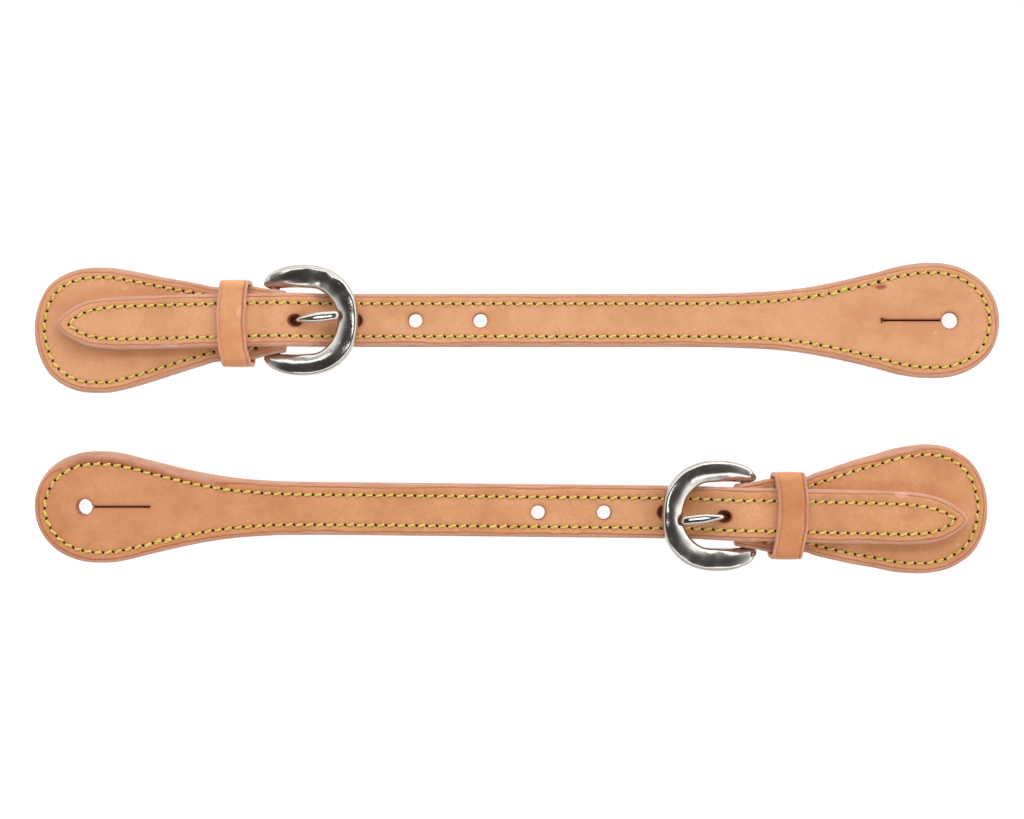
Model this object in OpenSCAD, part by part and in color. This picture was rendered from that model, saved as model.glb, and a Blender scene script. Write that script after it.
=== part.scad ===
// A pair of western spur straps. Each one is a long strap with a pointed
// billet and a teardrop tab, and a short tab that is folded round the heel
// bar of a horseshoe buckle. Two layers of leather are sewn together all the
// way round. The two straps lie side by side, head to tail, on one plane.
// Lengths are in millimetres. On each strap u runs from the buckle's heel
// bar towards the long tab, v runs across and z is up.

/* [Leather] */
// Thickness of one layer of leather
ply = 2; // [1.9:0.05:2.05]
// Half the width of the narrow part of the long strap
strap_half = 7.9; // [7.5:0.1:8.1]
// Diameter of the adjusting holes
hole_d = 4.2; // [4.0:0.1:4.6]
// Diameter of the button holes that take the spur's buttons
button_d = 4.8; // [4.2:0.1:5.4]
// Width of the slit beside each button hole
slit_w = 0.5; // [0.4:0.1:0.8]

/* [Stitching] */
// Distance of the stitch row from the edge
stitch_in = 3; // [2.8:0.1:3.2]
// Width of the thread
thread_w = 0.7; // [0.6:0.1:0.8]
// Depth of the groove that the thread lies in
groove = 0.4; // [0.3:0.1:0.5]

/* [Buckle] */
// Half the width of the horseshoe
shoe_r = 16.6; // [16.5:0.1:16.8]
// Half the width of the buckle's window
window_half = 9.85; // [9.85:0.05:10]
// Angle at which the buckle lies on the strap
shoe_tilt = 7.5; // [7.3:0.1:8]
// Radius of the heel bar
bar_r = 1.6; // [1.5:0.05:1.6]

/* [Keeper] */
// Length of the keeper along the strap
keeper_l = 10.2; // [9:0.2:10.2]
// Thickness of the keeper's leather
keeper_t = 1.5; // [1.4:0.05:1.6]

/* [Layout] */
// Distance between the two straps' centre lines
apart = 58.5; // [56:0.5:80]

/* [Hidden] */
$fn = 48;

tan_leather = [0.87, 0.62, 0.45];
flesh_leather = [0.80, 0.60, 0.46];
keeper_leather = [0.86, 0.60, 0.40];
yellow_thread = [0.80, 0.72, 0.28];
nickel = [0.72, 0.72, 0.74];

// Heights: the keeper lifts both straps, and the fold wraps the heel bar.
lift = 2;
fit = 0.05;
fold_in = 1.7;
fold_out = fold_in + ply;
bar_z = fold_out + fit;
short_top = 2 * ply;
crest = bar_z + fold_out - short_top - lift;

// Ends of each strap, left then right, measured from the heel bar
tip_u = [-64.8, -65.9];
long_u = [217.5, 213.4];
short_u = [-72.1, -72.7];
bar_x = [-72.7, 68.6];

// Half widths at distances from the end of each tab and of the billet
long_tab = [
  [[0, 0], [0.6, 4.6], [3, 9.7], [4.8, 11.7], [8.4, 14.4], [12, 16.05], [15.6, 16.95],
   [19.2, 17.25], [22.8, 17.2], [26.4, 16.8], [30, 16.2], [37, 14.3], [44, 12.6], [52, 10.9],
   [59, 9.65], [66, 8.85], [73, 8.4], [88, 7.9]],
  [[0, 0], [0.6, 4.4], [3.9, 10.5], [7.5, 13.6], [11, 15.3], [14.7, 16.3], [18.3, 16.65],
   [22, 16.6], [25.5, 16.2], [32.7, 14.5], [40, 12.7], [47, 11.1], [54, 9.8], [61.5, 8.8],
   [69, 8.25], [76, 7.9], [88, 7.9]]];
short_tab = [
  [[0, 0], [0.6, 5.2], [2, 9.3], [4.2, 13], [7.8, 16], [11.4, 17.7], [15, 18.55], [18.6, 18.75],
   [22, 18.7], [26, 18.1], [33, 16.5], [40, 14.7], [47, 13], [51, 12.1], [54, 11.05], [65, 10.95],
   [67, 10.6], [68.5, 9.55], [70, 9.35], [72, 9.3], [76, 9]],
  [[0, 0], [0.6, 5.2], [1.5, 8.1], [5, 13.9], [8.7, 16.6], [12.3, 18.3], [16, 19.05], [19.5, 19.3],
   [23, 19.05], [27, 18.6], [34, 16.9], [41, 15.3], [48, 13.4], [52, 12.5], [54.5, 11.05], [65, 10.95],
   [67.5, 10.6], [69, 9.55], [70.5, 9.35], [72.5, 9.3], [77, 9]]];
billet = [[0, 0], [2.1, 2.8], [5.3, 5], [8.6, 6.6], [11.3, 7.1], [15, 7.6], [18.4, 7.9], [30, 7.9]];

// Sideways drift of each strap's centre line, as hand-cut leather has
long_mid = [
  [[-66, -1.3], [-40, -0.8], [-15, -0.2], [0, 0.1], [200, 0.1], [217.5, -0.4]],
  [[-67, 1.2], [-40, 0.4], [-15, -0.3], [0, -0.6], [32, -1.1], [120, -2], [194, -2.5], [213.4, -2.8]]];
short_mid = [
  [[-72, -2.4], [-66, -2.9], [-50, -2.9], [-37, -2.3], [-25, -1.6], [-17, -1.2], [-7, -0.9], [-4, -0.4], [4, -0.3]],
  [[-73, -2.1], [-60, -2.3], [-53, -1.9], [-28, -0.7], [-20, -0.35], [-7, 0], [-4, -0.1], [4, -0.15]]];
keeper_v = [-1.05, -0.15];
keeper_u = -11.6;
hole_u = [[24.2, 42.2, 61.7], [24.4, 42.5, 62.3]];
hole_v = [0, -0.9];
prong_hole_u = 6.2;
button_long = [202.5, 198.4];
button_short = [-57.1, -57.7];
slit_l = 21;

function rooted(t) = [for (p = t) [sqrt(p[0]), p[1]]];
function wave(t) = t <= 0 ? 0 : t >= 1 ? 1 : 0.5 - 0.5 * cos(180 * t);
function reversed(a) = [for (i = [len(a) - 1:-1:0]) a[i]];

// Undersides of the straps, seen from the side
ramp = 18;
function slope(u) = (long_z(u + 0.01) - long_z(u - 0.01)) / 0.02;
function rise(u) = lift * wave((u + 36) / 9);
function long_z(u) = u <= 0 ? short_top + fit + rise(u) + crest * wave((u + 4.6) / 4.6)
  : (short_top + fit + lift + crest) * (1 - wave(u / ramp));
function short_top_z(u) = short_top + rise(u) + crest * wave((u + 4.6) / 4.6);
function short_low_z(u) = rise(u) - (lift - fit) * wave((u + 4.6) / 4.6);

// Outlines, seen from above
tab_steps = [0.15, 0.6, 1.3, 2.2, 3.4, 5, 7, 9, 11.5, 14, 17, 20, 23, 26.5, 31, 36, 42, 48, 54, 61, 69, 78, 90];
tip_steps = [0.2, 0.6, 1.3, 2.1, 3.2, 4.5, 6, 8, 10, 12.5, 15.5, 18.4, 24];
short_steps = [0.15, 0.6, 1.3, 2.2, 3.4, 5, 7, 9, 11.5, 14, 17, 20, 23, 26.5, 31, 36, 41, 46, 51, 54, 60, 65, 67, 68.7, 70.2, 72, 75.7];
function long_half(s, u) = u < 0 ? lookup(sqrt(max(0, u - tip_u[s])), rooted(billet)) * strap_half / 7.9
  : lookup(sqrt(max(0, long_u[s] - u)), rooted(long_tab[s])) + (strap_half - 7.9) * max(0, 1 - u / 130);
function short_half(s, u) = lookup(sqrt(max(0, u - short_u[s])), rooted(short_tab[s]));
function long_steps(s) = concat([for (d = tip_steps) tip_u[s] + d], [-20, 0, 20, 50, 80, 105],
  [for (d = reversed(tab_steps)) long_u[s] - d]);
function long_outline(s) = let (us = long_steps(s)) concat(
  [[tip_u[s], lookup(tip_u[s], long_mid[s])]],
  [for (u = us) [u, lookup(u, long_mid[s]) + long_half(s, u)]],
  [[long_u[s], lookup(long_u[s], long_mid[s])]],
  [for (u = reversed(us)) [u, lookup(u, long_mid[s]) - long_half(s, u)]]);
function short_outline(s) = let (us = [for (d = short_steps) short_u[s] + d]) concat(
  [[short_u[s], lookup(short_u[s], short_mid[s])]],
  [for (u = us) [u, lookup(u, short_mid[s]) + short_half(s, u)]],
  [for (u = reversed(us)) [u, lookup(u, short_mid[s]) - short_half(s, u)]]);
// The outline drawn in by d, leaving out the points too near a sharp end
function inward(p, d, keep_u) = let (n = len(p)) [for (i = [0:n - 1])
  let (t = p[(i + 1) % n] - p[(i + n - 1) % n], l = norm(t))
  if (p[i][0] > keep_u) p[i] + d * [t[1], -t[0]] / l];

// A prism across the strap, from an outline drawn in u and z
module across(points) rotate([90, 0, 0]) linear_extrude(height = 60, center = true) polygon(points);
// A prism upright through the strap, from an outline drawn in u and v
module upright(points) translate([0, 0, -5]) linear_extrude(height = 30) polygon(points);

long_side = concat([-70], [for (i = [0:6]) -36 + 1.5 * i], [for (i = [0:6]) -4.6 + 4.6 * i / 6],
  [for (i = [1:14]) ramp * i / 14], [222]);
short_side = concat([-76], [for (i = [0:6]) -36 + 1.5 * i], [for (i = [0:6]) -4.6 + 4.6 * i / 6]);
low_side = short_side;

module long_layer(a, b) across(concat([for (u = long_side) [u, long_z(u) + b]],
  [for (u = reversed(long_side)) [u, long_z(u) + a]]));
module above_short(a, b) across(concat([for (u = short_side) [u, short_top_z(u) + b]],
  [for (u = reversed(short_side)) [u, short_top_z(u) + a]]));
module below_short(a, b) across(concat([for (u = low_side) [u, short_low_z(u) + b]],
  [for (u = reversed(low_side)) [u, short_low_z(u) + a]]));

module ribbon(p, keep_u) difference() {
  upright(inward(p, stitch_in - thread_w / 2, keep_u));
  upright(inward(p, stitch_in + thread_w / 2, keep_u));
}

// Button hole with its slit, cut through everything
module button_hole(s, u, v, dir) {
  translate([u, v, -3]) cylinder(h = 12, d = button_d);
  translate([dir > 0 ? u : u - slit_l, v - slit_w / 2, -3]) cube([slit_l, slit_w, 12]);
}

module long_holes(s) {
  for (u = hole_u[s]) translate([u, hole_v[s], -3]) cylinder(h = 12, d = hole_d);
  translate([prong_hole_u, 0, long_z(prong_hole_u) + ply])
    rotate([0, -atan(slope(prong_hole_u)), 0]) cylinder(h = 14, d = hole_d, center = true);
  button_hole(s, button_long[s], lookup(button_long[s], long_mid[s]), -1);
}

module long_ply(s, a, b) difference() {
  intersection() {
    long_layer(a, b);
    upright(long_outline(s));
  }
  long_holes(s);
}

module long_outer(s) difference() {
  long_ply(s, ply, 2 * ply);
  intersection() {
    long_layer(2 * ply - groove, 2 * ply + 1);
    ribbon(long_outline(s), tip_u[s] + 3);
  }
}
module long_lining(s) difference() {
  long_ply(s, 0, ply);
  intersection() {
    long_layer(-1, groove);
    ribbon(long_outline(s), tip_u[s] + 3);
  }
}
module long_thread(s, a, b) intersection() {
  long_layer(a, b);
  ribbon(long_outline(s), tip_u[s] + 3);
}

// Side view of the short strap's outer layer: over the bar and back below
fold_points = concat([for (u = short_side) [u, short_top_z(u)]],
  [for (i = [1:23]) [fold_out * sin(7.5 * i), bar_z + fold_out * cos(7.5 * i)]],
  [for (u = reversed(low_side)) if (u > -27) [u, short_low_z(u)]],
  [[-26, lift], [-26, lift + ply]],
  [for (u = reversed(short_side)) if (u < -26) [u, short_top_z(u) - ply]]);
// The hollow between the two legs beside the bar
throat = concat([for (i = [0:6]) let (u = -4.6 + 4.6 * i / 6) [u, short_top_z(u) - ply]],
  [for (i = [6:-1:1]) let (u = -4.6 + 4.6 * i / 6) [u, short_low_z(u) + ply]]);

module short_outer(s) difference() {
  intersection() {
    across(fold_points);
    upright(short_outline(s));
  }
  across(throat);
  translate([0, 0, bar_z]) rotate([90, 0, 0]) cylinder(h = 60, r = fold_in, center = true);
  translate([-3.4, -2, -3]) cube([9, 4, 14]);
  button_hole(s, button_short[s], lookup(button_short[s], short_mid[s]), 1);
  intersection() {
    above_short(-groove, 1);
    ribbon(short_outline(s), -80);
    translate([-80, -30, -5]) cube([74, 60, 30]);
  }
  intersection() {
    below_short(-1, groove);
    ribbon(short_outline(s), -80);
    translate([-80, -30, -5]) cube([70.8, 60, 30]);
  }
}
module short_lining(s) difference() {
  intersection() {
    below_short(0, ply);
    upright(short_outline(s));
    translate([-80, -30, -5]) cube([53.9, 60, 30]);
  }
  button_hole(s, button_short[s], lookup(button_short[s], short_mid[s]), 1);
  intersection() {
    below_short(-1, groove);
    ribbon(short_outline(s), -80);
  }
}
module short_needle(s) intersection() {
  above_short(-groove, -0.03);
  ribbon(short_outline(s), -80);
  translate([-80, -30, -5]) cube([74, 60, 30]);
}
module short_bobbin(s) intersection() {
  below_short(0.03, groove);
  ribbon(short_outline(s), -80);
  translate([-80, -30, -5]) cube([70.8, 60, 30]);
}

// A rectangle with round corners, from (v0, z0) to (v1, z1)
function round_rect(v0, z0, v1, z1, r) = [for (k = [0:3]) for (i = [0:6])
  let (a = 90 * k + 15 * i, cv = (k == 0 || k == 3) ? v1 - r : v0 + r, cz = k < 2 ? z1 - r : z0 + r)
  [cv + r * cos(a), cz + r * sin(a)]];
keeper_in = 11.5;
keeper_top = lift + 4 * ply + fit + 0.3;
module loop(l, v, g) rotate([90, 0, 90]) linear_extrude(height = l, center = true)
  polygon(round_rect(v - keeper_in - g, lift - 0.35 - g, v + keeper_in + g, keeper_top + g, 0.5 + g));
module keeper(s) translate([keeper_u, 0, 0]) difference() {
  loop(keeper_l, keeper_v[s], keeper_t);
  loop(keeper_l + 2, keeper_v[s], 0);
  for (i = [-2:2]) translate([1.7 * i - 0.4, keeper_v[s] - 2.5, -1]) cube([0.8, 5, 1.5]);
}
module keeper_sewing(s) translate([keeper_u, 0, 0])
  for (i = [-2:2]) translate([1.7 * i - 0.4, keeper_v[s] - 2.5, 0.1]) cube([0.8, 5, 0.4]);

// The horseshoe: stations round the middle, a domed section at each
shoe_u = 8.7;
shoe_n = 28;
sec_n = 16;
shoe_round = 2.25;
shoe_len = 16.5;
window_r = 10.4;
window_mid = -0.2;
arm_end = 11.2;
arm_steps = [6.5, 4.2, 2, 0, -1.2, -2, -2.6, -3, -3.25, -3.38];
function bent(c, p) = c < 0 ? -pow(-c, p) : pow(c, p);
function outer_r(a) = 1 / pow(pow(abs(cos(a)) / shoe_len, shoe_round) + pow(abs(sin(a)) / shoe_r, shoe_round), 1 / shoe_round);
function inner_r(a) = min(window_r, window_half / max(0.01, abs(sin(a))));
function outer_v(u) = shoe_r * pow(1 - pow((shoe_u - u) / shoe_len, shoe_round), 1 / shoe_round);
// How full the arm is at u: it rounds off towards its end
function full(u) = u > -1.2 ? 1 : sqrt(max(0, 1 - pow((-1.2 - u) / 2.2, 2)));
// A domed section between an inner and an outer point
function dome(p, q, f, low) = [for (k = [0:sec_n - 1]) let (b = 360 * k / sec_n, m = (p + q) / 2, w = (q - p) / 2,
  c = m + w * bent(cos(b), 0.8)) [c[0], c[1], bent(sin(b), 0.85) * f * (sin(b) > 0 ? 3 : low)]];
function arm_ring(g, u) = let (k = full(u)) dome([u, window_mid + g * (arm_end - (arm_end - window_half) * k)],
  [u, g * (arm_end + (outer_v(u) - arm_end) * k)], min(1, 0.22 + 0.78 * k), 1.6);
function arc_ring(a) = dome([shoe_u + inner_r(a) * cos(a), inner_r(a) * sin(a) + window_mid * abs(sin(a))],
  [shoe_u + outer_r(a) * cos(a), outer_r(a) * sin(a)], 1, 1.2 + 0.4 * wave((abs(a) - 60) / 50));
function shoe_rings() = concat([for (u = reversed(arm_steps)) arm_ring(-1, u)],
  [for (i = [0:shoe_n]) arc_ring(-90 + 180 * i / shoe_n)], [for (u = arm_steps) arm_ring(1, u)]);
function skin(rings) = let (n = len(rings), m = len(rings[0])) concat(
  [[for (k = [0:m - 1]) k]],
  [for (i = [0:n - 2]) for (k = [0:m - 1]) let (a = i * m + k, b = i * m + (k + 1) % m) [a, a + m, b + m]],
  [for (i = [0:n - 2]) for (k = [0:m - 1]) let (a = i * m + k, b = i * m + (k + 1) % m) [a, b + m, b]],
  [[for (k = [m - 1:-1:0]) (n - 1) * m + k]]);
module sweep(rings, flip = false) polyhedron(points = [for (r = rings) for (p = r) p],
  faces = flip ? [for (f = skin(rings)) reversed(f)] : skin(rings), convexity = 6);

module shoe(s) translate([0, 0, bar_z]) {
  difference() {
    rotate([0, -shoe_tilt, 0]) sweep(shoe_rings(), true);
    translate([17, 1.3, 6.5]) rotate([0, 90, 0]) cylinder(h = 4.8, r = 2);
  }
  translate([0, window_mid, 0]) rotate([90, 0, 0]) cylinder(h = 2 * window_half + 2.6, r = bar_r, center = true);
}

// The prong: an eye round the bar, a neck through the hole and a broad tip
eye_in = bar_r + 0.05;
prong_path = [[2.3, 4.6], [4.1, 4.85], [5.3, 5.4], [6.2, 6.2], [6.9, 7.2], [7.5, 8.3], [8.2, 9.2], [9.2, 9.8],
  [10.6, 10.05], [12.6, 10], [14.6, 9.85], [16.6, 9.65], [18, 9.5], [18.7, 9.4], [19, 9.35]];
prong_half = [1.3, 1.05, 0.9, 0.85, 0.85, 0.85, 0.95, 1.25, 1.5, 1.6, 1.65, 1.65, 1.5, 1, 0.4];
prong_thick = [0.75, 0.85, 0.85, 0.85, 0.85, 0.85, 0.85, 0.85, 0.85, 0.8, 0.8, 0.8, 0.75, 0.55, 0.25];
function prong_ring(i) = let (p = prong_path[i], q = prong_path[min(i + 1, len(prong_path) - 1)],
  o = prong_path[max(i - 1, 0)], t = (q - o) / norm(q - o), v = 1.3 * max(0, (p[0] - 6.6) / 12.4))
  [for (k = [0:11]) let (b = 30 * k) [p[0] - t[1] * prong_thick[i] * sin(b), v + prong_half[i] * cos(b),
  p[1] + t[0] * prong_thick[i] * sin(b)]];
module prong() {
  sweep([for (i = [0:len(prong_path) - 1]) prong_ring(i)]);
  translate([0, 0, bar_z]) rotate([90, 0, 0]) difference() {
    cylinder(h = 3.2, r = 2.9, center = true);
    cylinder(h = 6, r = eye_in, center = true);
  }
}

// The left strap points one way and the right strap the other
module placed(s) translate([bar_x[s], (s == 0 ? 1 : -1) * apart / 2, 0]) rotate([0, 0, 180 * s]) children();

module left_long_strap_outer() color(tan_leather) placed(0) long_outer(0);
module left_long_strap_lining() color(flesh_leather) placed(0) long_lining(0);
module left_long_strap_needle_thread() color(yellow_thread) placed(0) long_thread(0, 2 * ply - groove, 2 * ply - 0.03);
module left_long_strap_bobbin_thread() color(yellow_thread) placed(0) long_thread(0, 0.03, groove);
module left_short_strap_outer() color(tan_leather) placed(0) short_outer(0);
module left_short_strap_lining() color(flesh_leather) placed(0) short_lining(0);
module left_short_strap_needle_thread() color(yellow_thread) placed(0) short_needle(0);
module left_short_strap_bobbin_thread() color(yellow_thread) placed(0) short_bobbin(0);
module left_keeper() color(keeper_leather) placed(0) keeper(0);
module left_keeper_stitches() color(yellow_thread) placed(0) keeper_sewing(0);
module left_buckle_frame() color(nickel) placed(0) shoe(0);
module left_buckle_prong() color(nickel) placed(0) prong();
module right_long_strap_outer() color(tan_leather) placed(1) long_outer(1);
module right_long_strap_lining() color(flesh_leather) placed(1) long_lining(1);
module right_long_strap_needle_thread() color(yellow_thread) placed(1) long_thread(1, 2 * ply - groove, 2 * ply - 0.03);
module right_long_strap_bobbin_thread() color(yellow_thread) placed(1) long_thread(1, 0.03, groove);
module right_short_strap_outer() color(tan_leather) placed(1) short_outer(1);
module right_short_strap_lining() color(flesh_leather) placed(1) short_lining(1);
module right_short_strap_needle_thread() color(yellow_thread) placed(1) short_needle(1);
module right_short_strap_bobbin_thread() color(yellow_thread) placed(1) short_bobbin(1);
module right_keeper() color(keeper_leather) placed(1) keeper(1);
module right_keeper_stitches() color(yellow_thread) placed(1) keeper_sewing(1);
module right_buckle_frame() color(nickel) placed(1) shoe(1);
module right_buckle_prong() color(nickel) placed(1) prong();

left_long_strap_outer();
left_long_strap_lining();
left_long_strap_needle_thread();
left_long_strap_bobbin_thread();
left_short_strap_outer();
left_short_strap_lining();
left_short_strap_needle_thread();
left_short_strap_bobbin_thread();
left_keeper();
left_keeper_stitches();
left_buckle_frame();
left_buckle_prong();
right_long_strap_outer();
right_long_strap_lining();
right_long_strap_needle_thread();
right_long_strap_bobbin_thread();
right_short_strap_outer();
right_short_strap_lining();
right_short_strap_needle_thread();
right_short_strap_bobbin_thread();
right_keeper();
right_keeper_stitches();
right_buckle_frame();
right_buckle_prong();
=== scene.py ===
import math

import bpy
import numpy as np
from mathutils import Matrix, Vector
from mathutils.geometry import delaunay_2d_cdt

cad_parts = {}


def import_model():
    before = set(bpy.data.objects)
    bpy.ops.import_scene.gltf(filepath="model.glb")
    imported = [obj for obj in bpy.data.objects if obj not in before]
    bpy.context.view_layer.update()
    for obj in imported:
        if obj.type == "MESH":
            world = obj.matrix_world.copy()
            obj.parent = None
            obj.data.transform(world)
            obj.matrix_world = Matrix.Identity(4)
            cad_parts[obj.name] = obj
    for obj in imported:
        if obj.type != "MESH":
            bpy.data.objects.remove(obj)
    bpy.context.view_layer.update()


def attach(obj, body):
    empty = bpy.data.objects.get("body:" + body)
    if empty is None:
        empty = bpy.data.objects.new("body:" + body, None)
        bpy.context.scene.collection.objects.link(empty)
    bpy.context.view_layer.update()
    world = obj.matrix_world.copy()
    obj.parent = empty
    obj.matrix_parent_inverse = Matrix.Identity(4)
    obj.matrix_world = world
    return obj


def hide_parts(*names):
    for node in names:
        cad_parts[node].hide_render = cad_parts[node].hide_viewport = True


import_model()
SIDES = ("left", "right")
pi = math.pi

# ---------------------------------------------------------------- the design, in millimetres
# u runs from the heel bar towards the long tab, v across, z up, on each strap.
PLY = 2.0
LIFT = 2.0
FIT = 0.05
FOLD_IN = 1.7
FOLD_OUT = FOLD_IN + PLY
BAR_Z = FOLD_OUT + FIT
BAR_R = 1.6
SHORT_TOP = 2 * PLY
CREST = BAR_Z + FOLD_OUT - SHORT_TOP - LIFT
RAMP = 18.0
BAR_X = (-72.7, 68.6)
BAR_Y = (29.25, -29.25)
SIGN = (1.0, -1.0)
TIP_U = (-64.8, -65.9)
LONG_U = (217.5, 213.4)
SHORT_U = (-72.1, -72.7)
LONG_TAB = (
    [[0, 0], [0.6, 4.6], [3, 9.7], [4.8, 11.7], [8.4, 14.4], [12, 16.05], [15.6, 16.95], [19.2, 17.25],
     [22.8, 17.2], [26.4, 16.8], [30, 16.2], [37, 14.3], [44, 12.6], [52, 10.9], [59, 9.65], [66, 8.85],
     [73, 8.4], [88, 7.95], [100, 7.9]],
    [[0, 0], [0.6, 4.4], [3.9, 10.5], [7.5, 13.6], [11, 15.3], [14.7, 16.3], [18.3, 16.65], [22, 16.6],
     [25.5, 16.2], [32.7, 14.5], [40, 12.7], [47, 11.1], [54, 9.8], [61.5, 8.8], [69, 8.25], [76, 7.95],
     [88, 7.85]],
)
SHORT_TAB = (
    [[0, 0], [0.6, 5.2], [2, 9.3], [4.2, 13], [7.8, 16], [11.4, 17.7], [15, 18.55], [18.6, 18.75],
     [22, 18.7], [26, 18.1], [33, 16.5], [40, 14.7], [47, 13], [51, 12], [54.5, 11.15], [60, 11.0],
     [65, 10.95], [67, 10.6], [69, 10.1], [71, 9.8], [73, 9.55], [76, 9.2]],
    [[0, 0], [0.6, 5.2], [1.5, 8.1], [5, 13.9], [8.7, 16.6], [12.3, 18.3], [16, 19.05], [19.5, 19.3],
     [23, 19.05], [27, 18.6], [34, 16.9], [41, 15.3], [48, 13.4], [52, 12.3], [55, 11.15], [60, 11.0],
     [65, 10.95], [67.5, 10.6], [69.5, 10.1], [71.5, 9.8], [73.5, 9.55], [77, 9.2]],
)
BILLET = [[0, 0], [0.35, 1.0], [2.1, 2.9], [5.3, 5], [8.6, 6.5], [11.3, 7.15], [15, 7.6], [18.4, 7.85], [30, 7.9]]
LONG_MID = (
    [[-66, -1.3], [-40, -0.8], [-15, -0.2], [0, 0.1], [200, 0.1], [217.5, -0.4]],
    [[-67, 1.2], [-40, 0.4], [-15, -0.3], [0, -0.6], [32, -1.1], [120, -2], [194, -2.5], [213.4, -2.8]],
)
SHORT_MID = (
    [[-72, -2.4], [-66, -2.9], [-50, -2.9], [-37, -2.3], [-25, -1.6], [-17, -1.2], [-7, -0.9], [-4, -0.6], [0, -0.4], [4, -0.3]],
    [[-73, -2.1], [-60, -2.3], [-53, -1.9], [-28, -0.7], [-20, -0.35], [-7, 0], [-4, -0.1], [4, -0.15]],
)
KEEPER_V = (-1.05, -0.15)
KEEPER_U = -11.6
KEEPER_L = 10.2
KEEPER_IN = 11.5
KEEPER_T = 1.5
HOLE_U = ((24.2, 42.2, 61.7), (24.4, 42.5, 62.3))
HOLE_V = (0.0, -0.9)
HOLE_R = 2.1
PRONG_V = (-0.2, 0.05)
BUTTON_LONG = (202.5, 198.4)
BUTTON_SHORT = (-57.1, -57.7)
BUTTON_R = 2.4
STITCH_IN = 3.0
PITCH = 3.06


def smooth(table, root=False):
    """A smooth, overshoot-free curve through a table's points."""
    x = np.array([p[0] for p in table], float)
    y = np.array([p[1] for p in table], float)
    if root:
        x = np.sqrt(x)
    h = np.diff(x)
    d = np.diff(y) / h
    m = np.zeros_like(y)
    for i in range(1, len(x) - 1):
        if d[i - 1] * d[i] > 0:
            w1, w2 = 2 * h[i] + h[i - 1], h[i] + 2 * h[i - 1]
            m[i] = (w1 + w2) / (w1 / d[i - 1] + w2 / d[i])
    m[0], m[-1] = d[0], d[-1] if abs(d[-1]) < 1e-9 else 0.0

    def f(q):
        q = np.clip(np.asarray(q, float), x[0], x[-1])
        i = np.clip(np.searchsorted(x, q, side="right") - 1, 0, len(h) - 1)
        t = (q - x[i]) / h[i]
        return ((2 * t**3 - 3 * t**2 + 1) * y[i] + (t**3 - 2 * t**2 + t) * h[i] * m[i]
                + (3 * t**2 - 2 * t**3) * y[i + 1] + (t**3 - t**2) * h[i] * m[i + 1])

    return f


def gentle(table):
    """A smooth centre line: the table's straight stretches with their corners taken off."""
    x = np.array([p[0] for p in table], float)
    y = np.array([p[1] for p in table], float)

    def f(q):
        q = np.asarray(q, float)
        return sum(np.interp(q + k, x, y) for k in (-6, -4, -2, 0, 2, 4, 6)) / 7

    return f


long_mid = [gentle(t) for t in LONG_MID]
short_mid = [gentle(t) for t in SHORT_MID]
_long_tab = [smooth(t, True) for t in LONG_TAB]
_short_tab = [smooth(t, True) for t in SHORT_TAB]
_billet = smooth(BILLET, True)


def long_half(s, u):
    u = np.asarray(u, float)
    return np.where(u < 0, _billet(np.sqrt(np.clip(u - TIP_U[s], 0, None))),
                    _long_tab[s](np.sqrt(np.clip(LONG_U[s] - u, 0, None))))


def short_half(s, u):
    return _short_tab[s](np.sqrt(np.clip(np.asarray(u, float) - SHORT_U[s], 0, None)))


def wave(t):
    return 0.5 - 0.5 * np.cos(pi * np.clip(t, 0, 1))


def long_z(u):
    u = np.asarray(u, float)
    return np.where(u <= 0, SHORT_TOP + FIT + LIFT * wave((u + 36) / 9) + CREST * wave((u + 4.6) / 4.6),
                    (SHORT_TOP + FIT + LIFT + CREST) * (1 - wave(u / RAMP)))


def short_top_z(u):
    u = np.asarray(u, float)
    return SHORT_TOP + LIFT * wave((u + 36) / 9) + CREST * wave((u + 4.6) / 4.6)


def short_low_z(u):
    u = np.asarray(u, float)
    return LIFT * wave((u + 36) / 9) - (LIFT - FIT) * wave((u + 4.6) / 4.6)


def world(s, p):
    """Strap coordinates in mm to the row frame in metres."""
    p = np.asarray(p, float)
    out = np.empty_like(p)
    out[:, 0] = BAR_X[s] + SIGN[s] * p[:, 0]
    out[:, 1] = BAR_Y[s] + SIGN[s] * p[:, 1]
    out[:, 2] = p[:, 2]
    return out / 1000.0


def ripple(x, seed, scale, n=5):
    """A fixed wavy function of x, about -1 to 1, with waves near that length."""
    r = np.random.RandomState(seed)
    out = np.zeros_like(np.asarray(x, float))
    for _ in range(n):
        out = out + np.sin(2 * pi * np.asarray(x, float) / (scale * r.uniform(0.6, 1.7)) + r.uniform(0, 2 * pi))
    return out / math.sqrt(n)


def ripple2(x, y, seed, scale, n=7):
    r = np.random.RandomState(seed)
    out = np.zeros_like(x)
    for _ in range(n):
        a = r.uniform(0, 2 * pi)
        k = 2 * pi / (scale * r.uniform(0.6, 1.7))
        out = out + np.sin(k * (x * math.cos(a) + y * math.sin(a)) + r.uniform(0, 2 * pi))
    return out / math.sqrt(n)


# ---------------------------------------------------------------- meshes
def make(name, verts, faces, mats, attrs=None, face_mat=None, smooth_it=True):
    me = bpy.data.meshes.new(name)
    me.from_pydata([tuple(v) for v in verts], [], [tuple(int(i) for i in f) for f in faces])
    me.validate(clean_customdata=False)
    for m in mats:
        me.materials.append(m)
    if face_mat is not None:
        me.polygons.foreach_set("material_index", np.asarray(face_mat, dtype=np.int32))
    for k, a in (attrs or {}).items():
        at = me.attributes.new(k, "FLOAT", "POINT")
        at.data.foreach_set("value", np.asarray(a, dtype=np.float32))
    me.polygons.foreach_set("use_smooth", [smooth_it] * len(me.polygons))
    me.update()
    o = bpy.data.objects.new(name, me)
    bpy.context.scene.collection.objects.link(o)
    return o


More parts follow.
